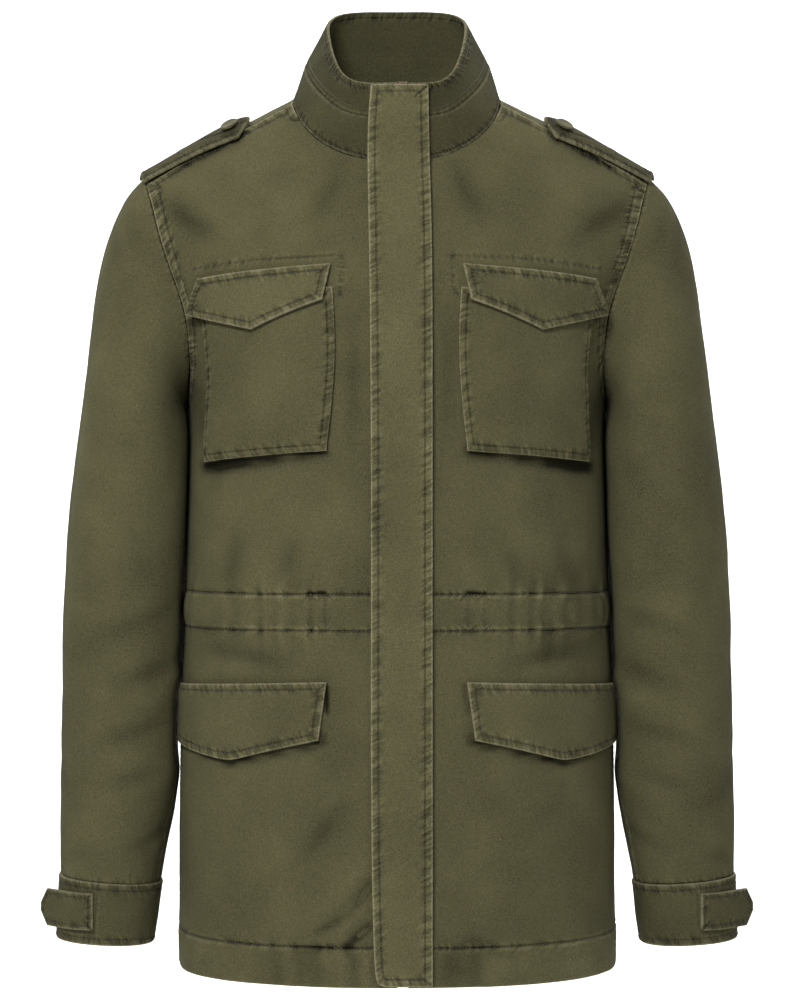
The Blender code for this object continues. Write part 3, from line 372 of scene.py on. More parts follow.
def seam_line(node, away):
    points, faces = finer(*wall_sides(node, away)[0], 3)
    rims = [points[loop] for loop in loops_of(faces)]
    return Line(max(rims, key=lambda rim: rim[:, 2].mean()), closed=True)


SEAMS = {}
for seam_node, seam_away in (
    ("front_right", away_from_body),
    ("front_left", away_from_body),
    ("back", away_from_body),
    ("sleeve_right", away_from_sleeve),
    ("sleeve_left", away_from_sleeve),
    ("collar_band", away_from_neck),
    ("collar_stand", away_from_neck),
):
    SEAMS[seam_node] = seam_line(seam_node, seam_away)


def puckered(off, along, inner, outer, height, seed):
    """Little ruckles between a seam at inner and one at outer, strongest midway between them."""
    middle, half = (inner + outer) / 2, max(0.5, (outer - inner) / 2)
    inside = np.clip(1 - ((off - middle) / (half * 1.15)) ** 2, 0, 1)
    swing = 2.6 * line_noise(along, 17, seed) + 1.3 * line_noise(along, 8, seed + 1)
    wave = np.sin(2 * math.pi * along / PUCKER + swing + 0.35 * (off - inner))
    strength = 0.6 + 0.4 * line_noise(along, 23, seed + 2)
    return height * inside * wave * strength


def stitched_edge(panel, off, along, at, seed, fold=0.7, ruckle=0.24, groove=0.42, keep=1.0, inside=True):
    """A folded edge held by topstitching at a distance from it."""
    edge_roll = -fold * np.clip(1 - off / 1.5, 0, 1) ** 2
    swell = fold * 0.55 * np.clip(np.sin(math.pi * np.clip(off / at, 0, 1)), 0, 1)
    line = -groove * bump(off, at, 0.85)
    behind = 0.18 * bump(off, at + 2.2, 1.6)
    ruckles = puckered(off, along, 0.3, at, ruckle, seed)
    ruckles += puckered(off, along, at, at + 5.5, ruckle * 0.45, seed)
    panel.lift((edge_roll + swell + line + behind + ruckles) * keep)
    ridge = puckered(off, along, 0, at, 0.5, seed)
    panel.age_and_shade((0.45 * bump(off, 0.3, 1.3) + 0.4 * np.clip(ridge, 0, 1) - 0.2 * bump(off, at, 0.9)) * keep)
    panel.sewn(off, along, at, inside=inside)


# Making meshes.
def new_object(name, points, faces, material, wear_and_shade=None, seam=None, pull=None):
    mesh = bpy.data.meshes.new(name)
    mesh.from_pydata((np.asarray(points) * MM).tolist(), [], faces)
    if wear_and_shade is not None:
        for key, kind, field, values in (
            ("wear_and_shade", "FLOAT", "value", wear_and_shade),
            ("pull", "FLOAT", "value", pull),
            ("seam", "FLOAT_VECTOR", "vector", seam),
        ):
            layer = mesh.attributes.new(key, kind, "POINT")
            layer.data.foreach_set(field, np.asarray(values, dtype=np.float32).ravel())
    mesh.materials.append(material)
    mesh.shade_smooth()
    mesh.set_sharp_from_angle(angle=math.radians(64))
    obj = bpy.data.objects.new(name, mesh)
    bpy.context.scene.collection.objects.link(obj)
    return obj


def loop_stops(points, loop):
    ring = points[list(loop) + [loop[0]]]
    stops = np.concatenate([[0], np.cumsum(np.linalg.norm(np.diff(ring, axis=0), axis=1))])
    return stops / stops[-1]


def bridge(points, fine, plain):
    """Faces between two loops that run side by side with different numbers of points."""
    fine, plain = list(fine), list(plain)[::-1]
    nearest = int(np.argmin(np.linalg.norm(points[plain] - points[fine[0]], axis=1)))
    plain = plain[nearest:] + plain[:nearest]
    here, there = loop_stops(points, fine), loop_stops(points, plain)
    i = j = 0
    faces = []
    while i < len(fine) or j < len(plain):
        a, b = fine[i % len(fine)], plain[j % len(plain)]
        ahead = here[i + 1] if i < len(fine) else 9.0
        beside = there[j + 1] if j < len(plain) else 9.0
        if ahead <= beside:
            faces.append([fine[(i + 1) % len(fine)], a, b])
            i += 1
        else:
            faces.append([a, b, plain[(j + 1) % len(plain)]])
            j += 1
    return faces


def lined_piece(panel, name, thickness, material):
    """A large piece: its fine outer side with a turned-in edge, joined to a plain inner side."""
    points, faces, wear_and_shade = [panel.points], list(panel.faces), [panel.wear_and_shade]
    seam, pull = [panel.seam], [panel.pull]
    count = len(panel.points)
    lips = []
    for loop in panel.loops:
        points.append(panel.points[loop] - panel.normals[loop] * thickness)
        wear_and_shade.append(panel.wear_and_shade[loop] * 0.5)
        seam.append(panel.seam[loop])
        pull.append(panel.pull[loop])
        size = len(loop)
        for i in range(size):
            j = (i + 1) % size
            faces.append([loop[j], loop[i], count + i, count + j])
        lips.append(list(range(count, count + size)))
        count += size
    inner, inner_faces = finer(*panel.inside, 1)
    tree = KDTree(len(panel.base))
    for i, p in enumerate(panel.base):
        tree.insert(p, i)
    tree.balance()
    beside = np.array([tree.find(p)[1] for p in inner])
    sunk = np.clip(-panel.relief[beside], 0, 5)
    inner = inner + normals_of(inner, inner_faces) * (0.4 + sunk)[:, None]
    points.append(inner)
    wear_and_shade.append(np.full(len(inner), -0.15))
    seam.append(np.tile((99.0, 0.0, 0.0), (len(inner), 1)))
    pull.append(np.zeros(len(inner)))
    faces += [[i + count for i in f] for f in inner_faces]
    points = np.vstack(points)
    loops = [[i + count for i in loop] for loop in loops_of(inner_faces)]
    for lip in lips:
        middle = points[lip].mean(axis=0)
        beside = min(loops, key=lambda loop: np.linalg.norm(points[loop].mean(axis=0) - middle))
        loops.remove(beside)
        faces += bridge(points, lip, beside)
    wear_and_shade, seam, pull = np.concatenate(wear_and_shade), np.vstack(seam), np.concatenate(pull)
    return new_object(name, points, faces, material, wear_and_shade, seam, pull)


def cloth_piece(panel, name, thickness, material, through=0.55):
    """The finished piece: its fine outer side, and a plainer inner side joined to it round every edge."""
    count = len(panel.points)
    inner = panel.base + panel.normals * (np.clip(panel.relief, -1.6, 1.0) * through - thickness)[:, None]
    faces = list(panel.faces) + [[i + count for i in reversed(f)] for f in panel.faces]
    for loop in panel.loops:
        for a, b in zip(loop, loop[1:] + loop[:1]):
            faces.append([b, a, a + count, b + count])
    points = np.vstack([panel.points, inner])
    wear_and_shade = np.concatenate([panel.wear_and_shade, panel.wear_and_shade * 0.2 - 0.15])
    seam = np.vstack([panel.seam, panel.seam])
    pull = np.concatenate([panel.pull, panel.pull_inside])
    return new_object(name, points, faces, material, wear_and_shade, seam, pull)


# Sewing.
class Threads:
    """Stitches gathered into one mesh."""

    def __init__(self):
        self.points, self.faces = [], []

    def stitch(self, start, end, out, width=THREAD):
        along = end - start
        length = np.linalg.norm(along)
        if length < 0.2:
            return
        along = along / length
        across = np.cross(along, out)
        across /= max(1e-9, np.linalg.norm(across))
        first = len(self.points)
        for share, size, rise in ((0.0, 0.3, -0.10), (0.22, 1.0, 0.16), (0.78, 1.0, 0.16), (1.0, 0.3, -0.10)):
            centre = start + along * length * share + out * rise
            for side, up in ((1, -0.3), (0, 1), (-1, -0.3)):
                self.points.append(centre + (across * side + out * up * 0.75) * width * size)
        for ring in range(3):
            a = first + ring * 3
            for i in range(3):
                j = (i + 1) % 3
                self.faces.append([a + i, a + j, a + 3 + j, a + 3 + i])

    def run(self, points, normals, pitch=STITCH_PITCH, width=THREAD):
        """Stitches along a path, a pitch apart."""
        points = np.asarray(points, float)
        if len(points) < 2:
            return
        steps = np.linalg.norm(np.diff(points, axis=0), axis=1)
        stops = np.concatenate([[0], np.cumsum(steps)])
        count = int(stops[-1] / pitch)
        for i in range(count):
            ends = []
            for at in (i * pitch + pitch * 0.1, (i + 1) * pitch - pitch * 0.1):
                ends.append(np.array([np.interp(at, stops, points[:, k]) for k in range(3)]))
            out = np.array([np.interp((i + 0.5) * pitch, stops, normals[:, k]) for k in range(3)])
            self.stitch(ends[0], ends[1], out / np.linalg.norm(out), width)

    def build(self, name, material):
        if not self.points:
            return None
        return new_object(name, self.points, self.faces, material)


class Surface:
    """Finds the nearest place and normal on shaped cloth."""

    def __init__(self, panel):
        faces = panel.faces
        self.tree = BVHTree.FromPolygons([Vector(p) for p in panel.points], faces)

    def drop(self, points, reach=14.0):
        places, normals = [], []
        for p in points:
            at, normal, _, distance = self.tree.find_nearest(Vector(p), reach)
            if at is None:
                continue
            places.append(at)
            normals.append(normal)
        return np.array(places), np.array(normals)

    def from_front(self, path, step=1.2):
        """Places and normals under a path of (x, z) corners that is looked at from the front."""
        places, normals = [], []
        for x, z in densely(path, step):
            at, normal, _, _ = self.tree.ray_cast(Vector((x, -400, z)), Vector((0, 1, 0)))
            if at is not None:
                places.append(at)
                normals.append(normal if normal.y < 0 else -normal)
        return np.array(places), np.array(normals)


def offset_run(panel, loop, away):
    """A path on the cloth at a distance from a run of its boundary."""
    points = panel.base[loop]
    normals = panel.normals[loop]
    tangent = np.gradient(points, axis=0)
    inward = np.cross(normals, tangent)
    inward /= np.maximum(np.linalg.norm(inward, axis=1, keepdims=True), 1e-9)
    path = points + inward * away
    rim = Line(panel.base[panel.loops[0]], closed=True)
    off, _ = rim.near(path)
    return path[off > away * 0.93]


def level_path(panel, surface, height, low, high, count=160):
    """A path round a body panel at a height, from one x to another, in front or behind."""
    near = np.abs(panel.z - height) < 6
    chosen = panel.base[near]
    inside = chosen[(chosen[:, 0] >= low) & (chosen[:, 0] <= high)]
    if len(inside) < 4:
        return np.zeros((0, 3)), np.zeros((0, 3))
    order = np.argsort(inside[:, 0])
    xs = np.linspace(inside[:, 0].min(), inside[:, 0].max(), count)
    ys = np.interp(xs, inside[order, 0], inside[order, 1])
    return surface.drop(np.stack([xs, ys, np.full(count, height)], axis=1))


# Materials.
class Shade:
    """A material and a short way to add nodes to it."""

    def __init__(self, name):
        self.material = bpy.data.materials.new(name)
        self.material.use_nodes = True
        self.tree = self.material.node_tree
        self.shader = self.tree.nodes["Principled BSDF"]

    def put(self, node, values):
        for key, value in values.items():
            socket = node.inputs[key]
            if isinstance(value, bpy.types.NodeSocket):
                self.tree.links.new(value, socket)
            else:
                socket.default_value = value

    def node(self, kind, values=None, out=0, **settings):
        node = self.tree.nodes.new("ShaderNode" + kind)
        for key, value in settings.items():
            setattr(node, key, value)
        self.put(node, values or {})
        return node.outputs[out]

    def math(self, operation, a, b=0.0):
        return self.node("Math", {0: a, 1: b}, operation=operation)

    def fall(self, value, near, far):
        """1 up to near, 0 from far on."""
        ends = {"Value": value, "From Min": near, "From Max": far, "To Min": 1.0, "To Max": 0.0}
        return self.node("MapRange", ends, interpolation_type="SMOOTHSTEP")

    def noise(self, place, scale, detail=3.0, rough=0.55):
        return self.node("TexNoise", {"Vector": place, "Scale": scale, "Detail": detail, "Roughness": rough})

    def ramp(self, value, stops):
        node = self.tree.nodes.new("ShaderNodeValToRGB")
        self.tree.links.new(value, node.inputs[0])
        ramp = node.color_ramp
        while len(ramp.elements) < len(stops):
            ramp.elements.new(0.5)
        for element, (at, colour) in zip(ramp.elements, stops):
            element.position = at
            element.color = (*colour, 1)
        return node.outputs[0]

    def finish(self, **values):
        self.put(self.shader, {key.replace("_", " "): value for key, value in values.items()})
        return self.material


def tinted(colour, share):
    return tuple(c * share for c in colour)


OLIVE = (0.0945, 0.0882, 0.0443)
WEAVE = 0.85 * MM


def seam_marks(shade, seed):
    """Beside the sewing: ruckles from -1 to 1, the drawn-in needle line, and the rubbed rim of a fold."""
    seam = shade.node("Attribute", out=1, attribute_name="seam")
    pull = shade.node("Attribute", out=2, attribute_name="pull")
    off, run, at = shade.node("SeparateXYZ", {0: seam}).node.outputs
    apart = shade.math("SUBTRACT", off, at)
    held = shade.fall(apart, -0.5, 7.0)
    slanted = shade.math("ADD", run, shade.math("MULTIPLY", off, 0.4))
    across = shade.math("MULTIPLY", off, 1 / 15)
    spot = shade.node("CombineXYZ", {0: shade.math("MULTIPLY", slanted, 1 / 3.1), 1: across, 2: seed * 9 + 0.5})
    wave = shade.noise(spot, 1.0, 1.2, 0.45)
    wave = shade.node(
        "MapRange",
        {"Value": wave, "From Min": 0.30, "From Max": 0.70, "To Min": -1.0, "To Max": 1.0},
        interpolation_type="SMOOTHSTEP",
    )
    ruckles = shade.math("MULTIPLY", wave, shade.math("MULTIPLY", held, pull))
    line = shade.math("MULTIPLY", shade.fall(shade.math("ABSOLUTE", apart), 0.25, 1.0), pull)
    folded = shade.math("GREATER_THAN", at, 0.6)
    rim = shade.math("MULTIPLY", shade.fall(off, 0.2, 1.9), shade.math("MULTIPLY", folded, pull))
    return ruckles, line, rim


def twill(name, colour, seed=0.0, rumple=1.0):
    """Washed cotton twill: fine diagonal ribs, mottled dye, paler cloth where the seams have rubbed, and darker
    cloth where shade is painted in.
    """
    shade = Shade(name)
    place = shade.node("TexCoord", out=3)
    place = shade.node("VectorMath", {0: place, 1: (seed, seed * 0.7, seed * 1.3)}, operation="ADD")
    slant = shade.node("VectorMath", {0: place, 1: (1.0, 1.0, 1.0)}, out=1, operation="DOT_PRODUCT")
    ribs = shade.math("SINE", shade.math("MULTIPLY", slant, 2 * math.pi / (WEAVE * 1.414)))
    yarn = shade.noise(place, 1250.0, 2.0, 0.6)
    fleck = shade.noise(place, 760.0, 2.0, 0.6)
    patch = shade.noise(place, 24.0, 1.5, 0.45)
    cloud = shade.noise(place, 9.0, 2.0, 0.5)
    wear_and_shade = shade.node("Attribute", out=2, attribute_name="wear_and_shade")
    ruckles, needle_line, rim = seam_marks(shade, seed)
    total = shade.math("ADD", shade.math("MULTIPLY", patch, 0.24), shade.math("MULTIPLY", cloud, 0.26))
    total = shade.math("ADD", total, shade.math("MULTIPLY", fleck, 0.56))
    total = shade.math("ADD", total, shade.math("MULTIPLY", yarn, 0.50))
    total = shade.math("ADD", total, shade.math("MULTIPLY", ribs, 0.03))
    # Paler where the cloth has rubbed, darker where painted shade is given.
    rubbed_and_shaded = shade.math("MULTIPLY", wear_and_shade, shade.math("ADD", shade.math("MULTIPLY", fleck, 0.5), 0.12))
    total = shade.math("ADD", total, rubbed_and_shaded)
    # The ruckles' colour follows their relief: paler ridges, partly rubbed and partly painted highlight, and
    # troughs darkened by painted shade.
    total = shade.math("ADD", total, shade.math("MULTIPLY", ruckles, 0.165))
    total = shade.math("SUBTRACT", total, shade.math("MULTIPLY", needle_line, 0.13))
    bright = shade.math("MULTIPLY", rim, shade.math("MULTIPLY", fleck, 0.72))
    total = shade.math("SUBTRACT", shade.math("ADD", total, bright), 0.335)
    stops = (
        (0.0, tinted(colour, 0.14)),
        (0.2, tinted(colour, 0.52)),
        (0.43, colour),
        (0.6, tinted(colour, 1.32)),
        (0.9, tinted((colour[0] * 1.02, colour[1] * 1.01, colour[2] * 1.22), 2.3)),
    )
    base = shade.ramp(total, stops)
    lumps = shade.noise(place, 60.0, 3.0, 0.5)
    soft = shade.node("Bump", {"Strength": 0.55 * rumple, "Distance": 1.6 * MM, "Height": lumps})
    drawn = shade.math("SUBTRACT", ruckles, shade.math("MULTIPLY", needle_line, 0.8))
    seams = shade.node("Bump", {"Strength": 0.9, "Distance": 0.5 * MM, "Height": drawn, "Normal": soft})
    height = shade.math("ADD", shade.math("MULTIPLY", ribs, 0.30), shade.math("MULTIPLY", yarn, 1.1))
    height = shade.math("ADD", height, shade.math("MULTIPLY", fleck, 1.4))
    fine = shade.node("Bump", {"Strength": 0.6, "Distance": 0.18 * MM, "Height": height, "Normal": seams})
    shade.put(shade.shader, {"Base Color": base, "Normal": fine})
    return shade.finish(Roughness=0.95, Sheen_Weight=0.01, Sheen_Roughness=0.5, Specular_IOR_Level=0.05)


def thread_material(name, colour):
    shade = Shade(name)
    place = shade.node("TexCoord", out=3)
    twist = shade.node("VectorMath", {0: place, 1: (1.0, 0.4, 1.0)}, out=1, operation="DOT_PRODUCT")
    ply = shade.math("SINE", shade.math("MULTIPLY", twist, 2 * math.pi / (0.5 * MM)))
    fade = shade.noise(place, 90.0, 3.0)
    base = shade.ramp(fade, ((0.3, tinted(colour, 0.8)), (0.7, tinted(colour, 1.25))))
    relief = shade.node("Bump", {"Strength": 0.4, "Distance": 0.08 * MM, "Height": ply})
    shade.put(shade.shader, {"Base Color": base, "Normal": relief})
    return shade.finish(Roughness=0.7, Sheen_Weight=0.1)


def tape_material(name, colour):
    shade = Shade(name)
    place = shade.node("TexCoord", out=3)
    apart = shade.node("SeparateXYZ", {0: place}, out=2)
    rows = shade.math("SINE", shade.math("MULTIPLY", apart, 2 * math.pi / (0.9 * MM)))
    yarn = shade.noise(place, 900.0)
    base = shade.ramp(yarn, ((0.3, tinted(colour, 0.75)), (0.7, tinted(colour, 1.2))))
    height = shade.math("ADD", rows, yarn)
    relief = shade.node("Bump", {"Strength": 0.5, "Distance": 0.15 * MM, "Height": height})
    shade.put(shade.shader, {"Base Color": base, "Normal": relief})
    return shade.finish(Roughness=0.85, Sheen_Weight=0.08)


def plastic_material(name, colour):
    shade = Shade(name)
    place = shade.node("TexCoord", out=3)
    swirl = shade.noise(place, 210.0, 4.0, 0.6)
    scuff = shade.noise(place, 1300.0, 3.0, 0.7)
    base = shade.ramp(swirl, ((0.3, tinted(colour, 0.75)), (0.7, tinted(colour, 1.3))))
    rough = shade.math("ADD", shade.math("MULTIPLY", scuff, 0.3), 0.5)
    relief = shade.node("Bump", {"Strength": 0.15, "Distance": 0.1 * MM, "Height": scuff})
    shade.put(shade.shader, {"Base Color": base, "Normal": relief, "Roughness": rough})
    return shade.finish(Specular_IOR_Level=0.2)


def brass_material(name, colour):
    shade = Shade(name)
    place = shade.node("TexCoord", out=3)
    tarnish = shade.noise(place, 420.0, 5.0, 0.65)
    base = shade.ramp(tarnish, ((0.3, tinted(colour, 0.35)), (0.7, tinted(colour, 1.25))))
    rough = shade.math("ADD", shade.math("MULTIPLY", tarnish, 0.3), 0.25)
    relief = shade.node("Bump", {"Strength": 0.2, "Distance": 0.1 * MM, "Height": tarnish})
    shade.put(shade.shader, {"Base Color": base, "Normal": relief, "Roughness": rough})
    return shade.finish(Metallic=1.0)


BODY_TWILL = twill("body_twill", OLIVE)
SLEEVE_TWILL = twill("sleeve_twill", OLIVE, 0.31)
TRIM_TWILL = twill("trim_twill", tinted(OLIVE, 1.03), 0.57, 0.8)
DARK_TWILL = twill("dark_twill", tinted(OLIVE, 0.78), 0.67, 0.9)
# The collar's twill is darker: painted shade.
COLLAR_TWILL = twill("collar_twill", tinted(OLIVE, 0.8), 0.83, 1.0)
PLACKET_TWILL = twill("placket_twill", tinted(OLIVE, 1.16), 1.1, 0.9)
THREAD_OLIVE = thread_material("thread", (0.062, 0.056, 0.030))
TAPE = tape_material("tape", (0.065, 0.061, 0.035))
PLASTIC = plastic_material("button", (0.088, 0.080, 0.038))
BRASS = brass_material("brass", (0.07, 0.052, 0.034))

# The folds, given as seen from the front: troughs are below zero.
Fold = namedtuple("Fold", "x z to_x to_z width depth")
FRONT_FOLDS = (
    Fold(-20, -655, -36, -682, 3.6, -1.4),
    Fold(-36, -682, -66, -697, 3.4, -1.0),
    Fold(-20, -690, -42, -709, 3.4, -1.5),
    Fold(-42, -709, -84, -711, 3.2, -1.0),
    Fold(-26, -673, -48, -699, 6.0, 1.1),
    Fold(-24, -640, -52, -676, 7.0, 0.8),
    Fold(-42, -592, -80, -640, 8.0, -0.6),
    Fold(58, -702, 92, -716, 5.0, -0.7),
    Fold(-160, -468, -96, -478, 9.0, -0.7),
    Fold(160, -468, 96, -478, 9.0, -0.7),
    Fold(-150, -482, -110, -486, 7.0, 0.5),
    Fold(150, -482, 110, -486, 7.0, 0.5),
    Fold(-60, -410, -40, -384, 7.0, 0.6),
    Fold(64, -410, 48, -384, 7.0, 0.6),
    Fold(-100, -414, -86, -386, 8.0, -0.6),
    Fold(104, -414, 92, -386, 8.0, -0.6),
    Fold(-140, -414, -134, -380, 8.0, -0.6),
    Fold(142, -414, 136, -380, 8.0, -0.6),
    Fold(-196, -96, -150, -128, 10.0, -0.8),
    Fold(196, -96, 150, -128, 10.0, -0.8),
    Fold(-176, -236, -150, -330, 9.0, -0.6),
    Fold(176, -236, 150, -330, 9.0, -0.6),
    Fold(-48, -70, -66, -112, 9.0, -0.6),
    Fold(50, -70, 68, -112, 9.0, -0.6),
    Fold(-34, -200, -36, -300, 8.0, -0.5),
    Fold(42, -190, 44, -290, 8.0, -0.5),
)
BACK_FOLDS = (
    Fold(-176, -236, -128, -300, 11.0, -1.0),
    Fold(176, -236, 128, -300, 11.0, -1.0),
    Fold(-168, -180, -120, -206, 10.0, -0.8),
    Fold(168, -180, 120, -206, 10.0, -0.8),
    Fold(-60, -30, -90, -84, 10.0, -0.6),
    Fold(60, -30, 90, -84, 10.0, -0.6),
    Fold(-120, -414, -108, -372, 8.0, -0.7),
    Fold(-74, -414, -70, -380, 8.0, -0.6),
    Fold(-22, -414, -24, -384, 8.0, -0.6),
    Fold(30, -414, 26, -378, 8.0, -0.6),
    Fold(80, -414, 76, -382, 8.0, -0.7),
    Fold(126, -414, 116, -370, 8.0, -0.7),
    Fold(-130, -460, -96, -500, 9.0, -0.7),
    Fold(130, -460, 96, -500, 9.0, -0.7),
    Fold(-30, -462, -36, -520, 9.0, -0.6),
    Fold(44, -462, 50, -530, 9.0, -0.6),
    Fold(-90, -640, -60, -706, 9.0, -0.8),
    Fold(86, -650, 110, -706, 9.0, -0.8),
)


def fold_relief(folds, x, z):
    total = np.zeros(len(x))
    for fold in folds:
        dx, dz = fold.to_x - fold.x, fold.to_z - fold.z
        along = np.clip(((x - fold.x) * dx + (z - fold.z) * dz) / (dx * dx + dz * dz), 0, 1)
        off = np.hypot(x - fold.x - along * dx, z - fold.z - along * dz)
        ends = 0.35 + 0.65 * np.sin(math.pi * np.clip(along * 0.9 + 0.05, 0, 1))
        total += 2.4 * fold.depth * np.exp(-((off / fold.width) ** 2)) * ends
    return total


def crowded(panel, others, reach=6.0):
    """1 where the cloth leans on another piece below the underarm, 0 from reach millimetres away: where painted
    shade between sleeve and body is laid.
    """
    near = np.full(len(panel.base), reach)
    low = np.nonzero((panel.z < -236) & (panel.z > -640) & (np.abs(panel.x) > 150))[0]
    for other in others:
        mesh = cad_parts[other].data
        corners = [v.co / MM for v in mesh.vertices]
        tree = BVHTree.FromPolygons(corners, [list(p.vertices) for p in mesh.polygons])
        for i in low:
            _, _, _, distance = tree.find_nearest(Vector(panel.base[i]), reach)
            if distance is not None:
                near[i] = min(near[i], distance)
    return (1 - smooth(near, 0.8, reach)) * smooth(-panel.z, 236, 266)


def softness(panel, height, seed):
    """The low lumps of washed cloth."""
    broad = noise(panel.base, (46, 46, 60), seed + 9) * 1.1
    wide = noise(panel.base, (24, 24, 32), seed) * 0.85
    small = noise(panel.base, (11, 11, 13), seed + 5) * 0.42
    panel.lift(height * (broad + wide + small) * beside_arm(panel))


def beside_arm(panel):
    """0.25 where sleeve and body lean on each other, 1 away from there."""
    x, y, z = np.abs(panel.x), np.abs(panel.y), panel.z
    near = (1 - smooth(y, 34, 62)) * smooth(-z, 240, 262) * (1 - smooth(-z, 600, 625))
    near *= smooth(x, 150, 166) * (1 - smooth(x, 206, 222))
    return 1 - 0.75 * near


def casing_relief(panel, seed):
    """The waist casing: a puffed band between two stitch lines, drawn into small upright gathers."""
    z, x = panel.z, panel.x
    round_it = x + np.sign(x) * np.abs(panel.y) * 0.8
    away_from_zip = smooth(np.abs(x - ZIP_X), 50, 84)
    for height, side in ((CASING_TOP, 1), (CASING_BOTTOM, -1)):
        panel.lift(-0.55 * bump(z, height, 1.2))
        panel.age_and_shade(-0.5 * bump(z, height, 1.2) + 0.35 * bump(z, height - side * 2.6, 1.3))
        near = np.exp(-np.abs(z - height) / 9.0)
        swing = 2.2 * line_noise(round_it, 24, seed) + 1.2 * line_noise(round_it, 10, seed + 1)
        wave = np.sin(2 * math.pi * round_it / 11.0 + swing + (z - height) * 0.02)
        wave += 0.5 * np.sin(2 * math.pi * round_it / 6.4 + 1.7 * swing)
        uneven = away_from_zip * (0.6 + 0.4 * line_noise(round_it, 30, seed + 3)) * beside_arm(panel)
        panel.lift(1.35 * wave * near * uneven)
        # The gathers' colour follows their relief: painted shade in the troughs, paler rubbed ridges.
        panel.age_and_shade(0.36 * wave * near * uneven)
        long_reach = np.exp(-np.maximum((z - height) * side, 0) / 26.0) * (side * (z - height) > 0)
        creases = noise(np.stack([round_it, z / 5, z * 0], axis=1), (8, 20, 9), seed + 5)
        panel.lift(1.3 * creases * long_reach * uneven)
        # The same for the creases beside the casing: painted shade in the troughs, paler rubbed ridges.
        panel.age_and_shade(0.45 * creases * long_reach * uneven)
        panel.sewn(np.abs(z - height), round_it, 0.0, 0.9)
        ruckle = np.sin(2 * math.pi * round_it / 5.4 + swing)
        panel.lift(0.12 * ruckle * np.exp(-np.abs(z - height) / 4.0) * (1 - away_from_zip * 0.5))
    panel.lift(0.5 * smooth(z, CASING_BOTTOM, CASING_BOTTOM + 8) * smooth(-z, -CASING_TOP, -CASING_TOP + 8))


def hem_relief(panel, seed):
    z = panel.z
    round_it = panel.x + np.sign(panel.x) * np.abs(panel.y) * 0.8
    off = z - HEM
    panel.lift(-0.5 * bump(z, HEM_STITCH, 1.2))
    panel.age_and_shade(-0.5 * bump(z, HEM_STITCH, 1.1) + 0.3 * bump(z, HEM_STITCH - 2.6, 1.4))
    panel.lift(puckered(HEM_STITCH - z, round_it, 0.0, 11.0, 0.42, seed))
    panel.lift(puckered(z - HEM_STITCH, round_it, 0.0, 8.0, 0.22, seed + 4))
    panel.lift(puckered(off, round_it, -1.0, 8.0, 0.22, seed + 8))
    panel.age_and_shade(0.5 * bump(off, 0.0, 1.5) + 0.15 * noise(panel.base, 8, seed) * bump(off, 14, 14))
    panel.sewn(np.abs(z - HEM_STITCH), round_it, 0.0, 0.85)
    across = noise(np.stack([round_it, z / 4, z * 0], axis=1), (9, 18, 9), seed + 6)
    panel.lift(0.8 * across * smooth(-z, 700, 712))
    # Painted shade in the troughs of the creases above the hem, paler rubbed ridges.
    panel.age_and_shade(0.3 * across * smooth(-z, 704, 712))


def shoulder_line(x):
    return -15.0 - (np.abs(x) - 90.0) * 0.504


def at_armhole(points):
    x, z = np.abs(points[:, 0]), points[:, 2]
    return (x > 160) & (z > -261) & (np.abs(z - shoulder_line(x)) > 7)


def at_shoulder(points):
    x, z = np.abs(points[:, 0]), points[:, 2]
    return (x > 84) & (z > -100) & (points[:, 1] < -8) & (np.abs(z - shoulder_line(x)) < 11)


def at_side(points):
    return (np.abs(points[:, 1]) < 3) & (np.abs(points[:, 0]) > 170) & (points[:, 2] < -262)


THREADS = Threads()


def level_line(height, depth_front=138.0, depth_back=128.0, wide=188.0):
    turns = np.linspace(0, 2 * math.pi, 240, endpoint=False)
    power = 2 / 2.4
    s, c = np.sin(turns), np.cos(turns)
    xs = wide * np.sign(s) * np.abs(s) ** power
    ys = -np.where(c > 0, depth_front, depth_back) * np.sign(c) * np.abs(c) ** power
    return Line(np.stack([xs, ys, np.full(len(xs), height)], axis=1), closed=True)


WAIST_LINES = (
    level_line(CASING_TOP, 127.4, 111.4, 182.2),
    level_line(CASING_BOTTOM, 127.6, 111.6, 183.0),
    level_line(HEM_STITCH, 137, 127, 187.4),
)


# Sewing on the fronts, given on the wearer's left: above the chest pockets and round the cord's two ways out.
CHEST_SEWING = ((171, -153), (118, -147), (45, -144), (46, -177), (54, -176))
CORD_SEWING = (
    ((57.0, -423), (57.6, -451)),
    ((71.0, -423), (71.6, -451)),
    ((59.2, -423), (59.8, -451)),
)
FRONT_SEWING = (CHEST_SEWING, *CORD_SEWING)
CORD_SLIT = ((58.5, -420.6), (72.5, -421.4))
POCKET_MOUTH_END = ((56.2, -498), (57.2, -516))
# Paths below pockets, flaps and the epaulette, where the fronts sink and are given painted shadow.
UNDER_CHEST_POCKET = ((61, -305), (100, -311), (160, -317))
UNDER_CHEST_FLAP = ((60, -184), (117, -207), (170, -191))
UNDER_HIP_FLAP = ((60, -540), (69, -545), (138, -561), (184, -548))
UNDER_EPAULETTE = ((124, -25), (135, -40), (181, -61))
BUTTONHOLE = ((150, -33.6), (166.4, -37.1))
STRAP_TACK = ((184.6, -44.8), (184.6, -50.9))


def densely(path, step=1.2):
    """Points a step apart along a path of corners."""
    points = [path[0]]
    for start, end in zip(path, path[1:]):
        count = max(1, int(math.dist(start, end) / step))
        for i in range(1, count + 1):
            points.append(tuple(a + (b - a) * i / count for a, b in zip(start, end)))
    return points


def beside_path(panel, hand, path):
    """Distance from a path that is seen from the front, and the place along it."""
    path = np.array(densely([(x * hand, z) for x, z in path]))
    line = Line(np.stack([path[:, 0], np.zeros(len(path)), path[:, 1]], axis=1))
    flat = panel.base * np.array([1.0, 0.0, 1.0])
    off, along = line.near(flat, 30)
    off[panel.y > -20] = 999.0
    return off, along


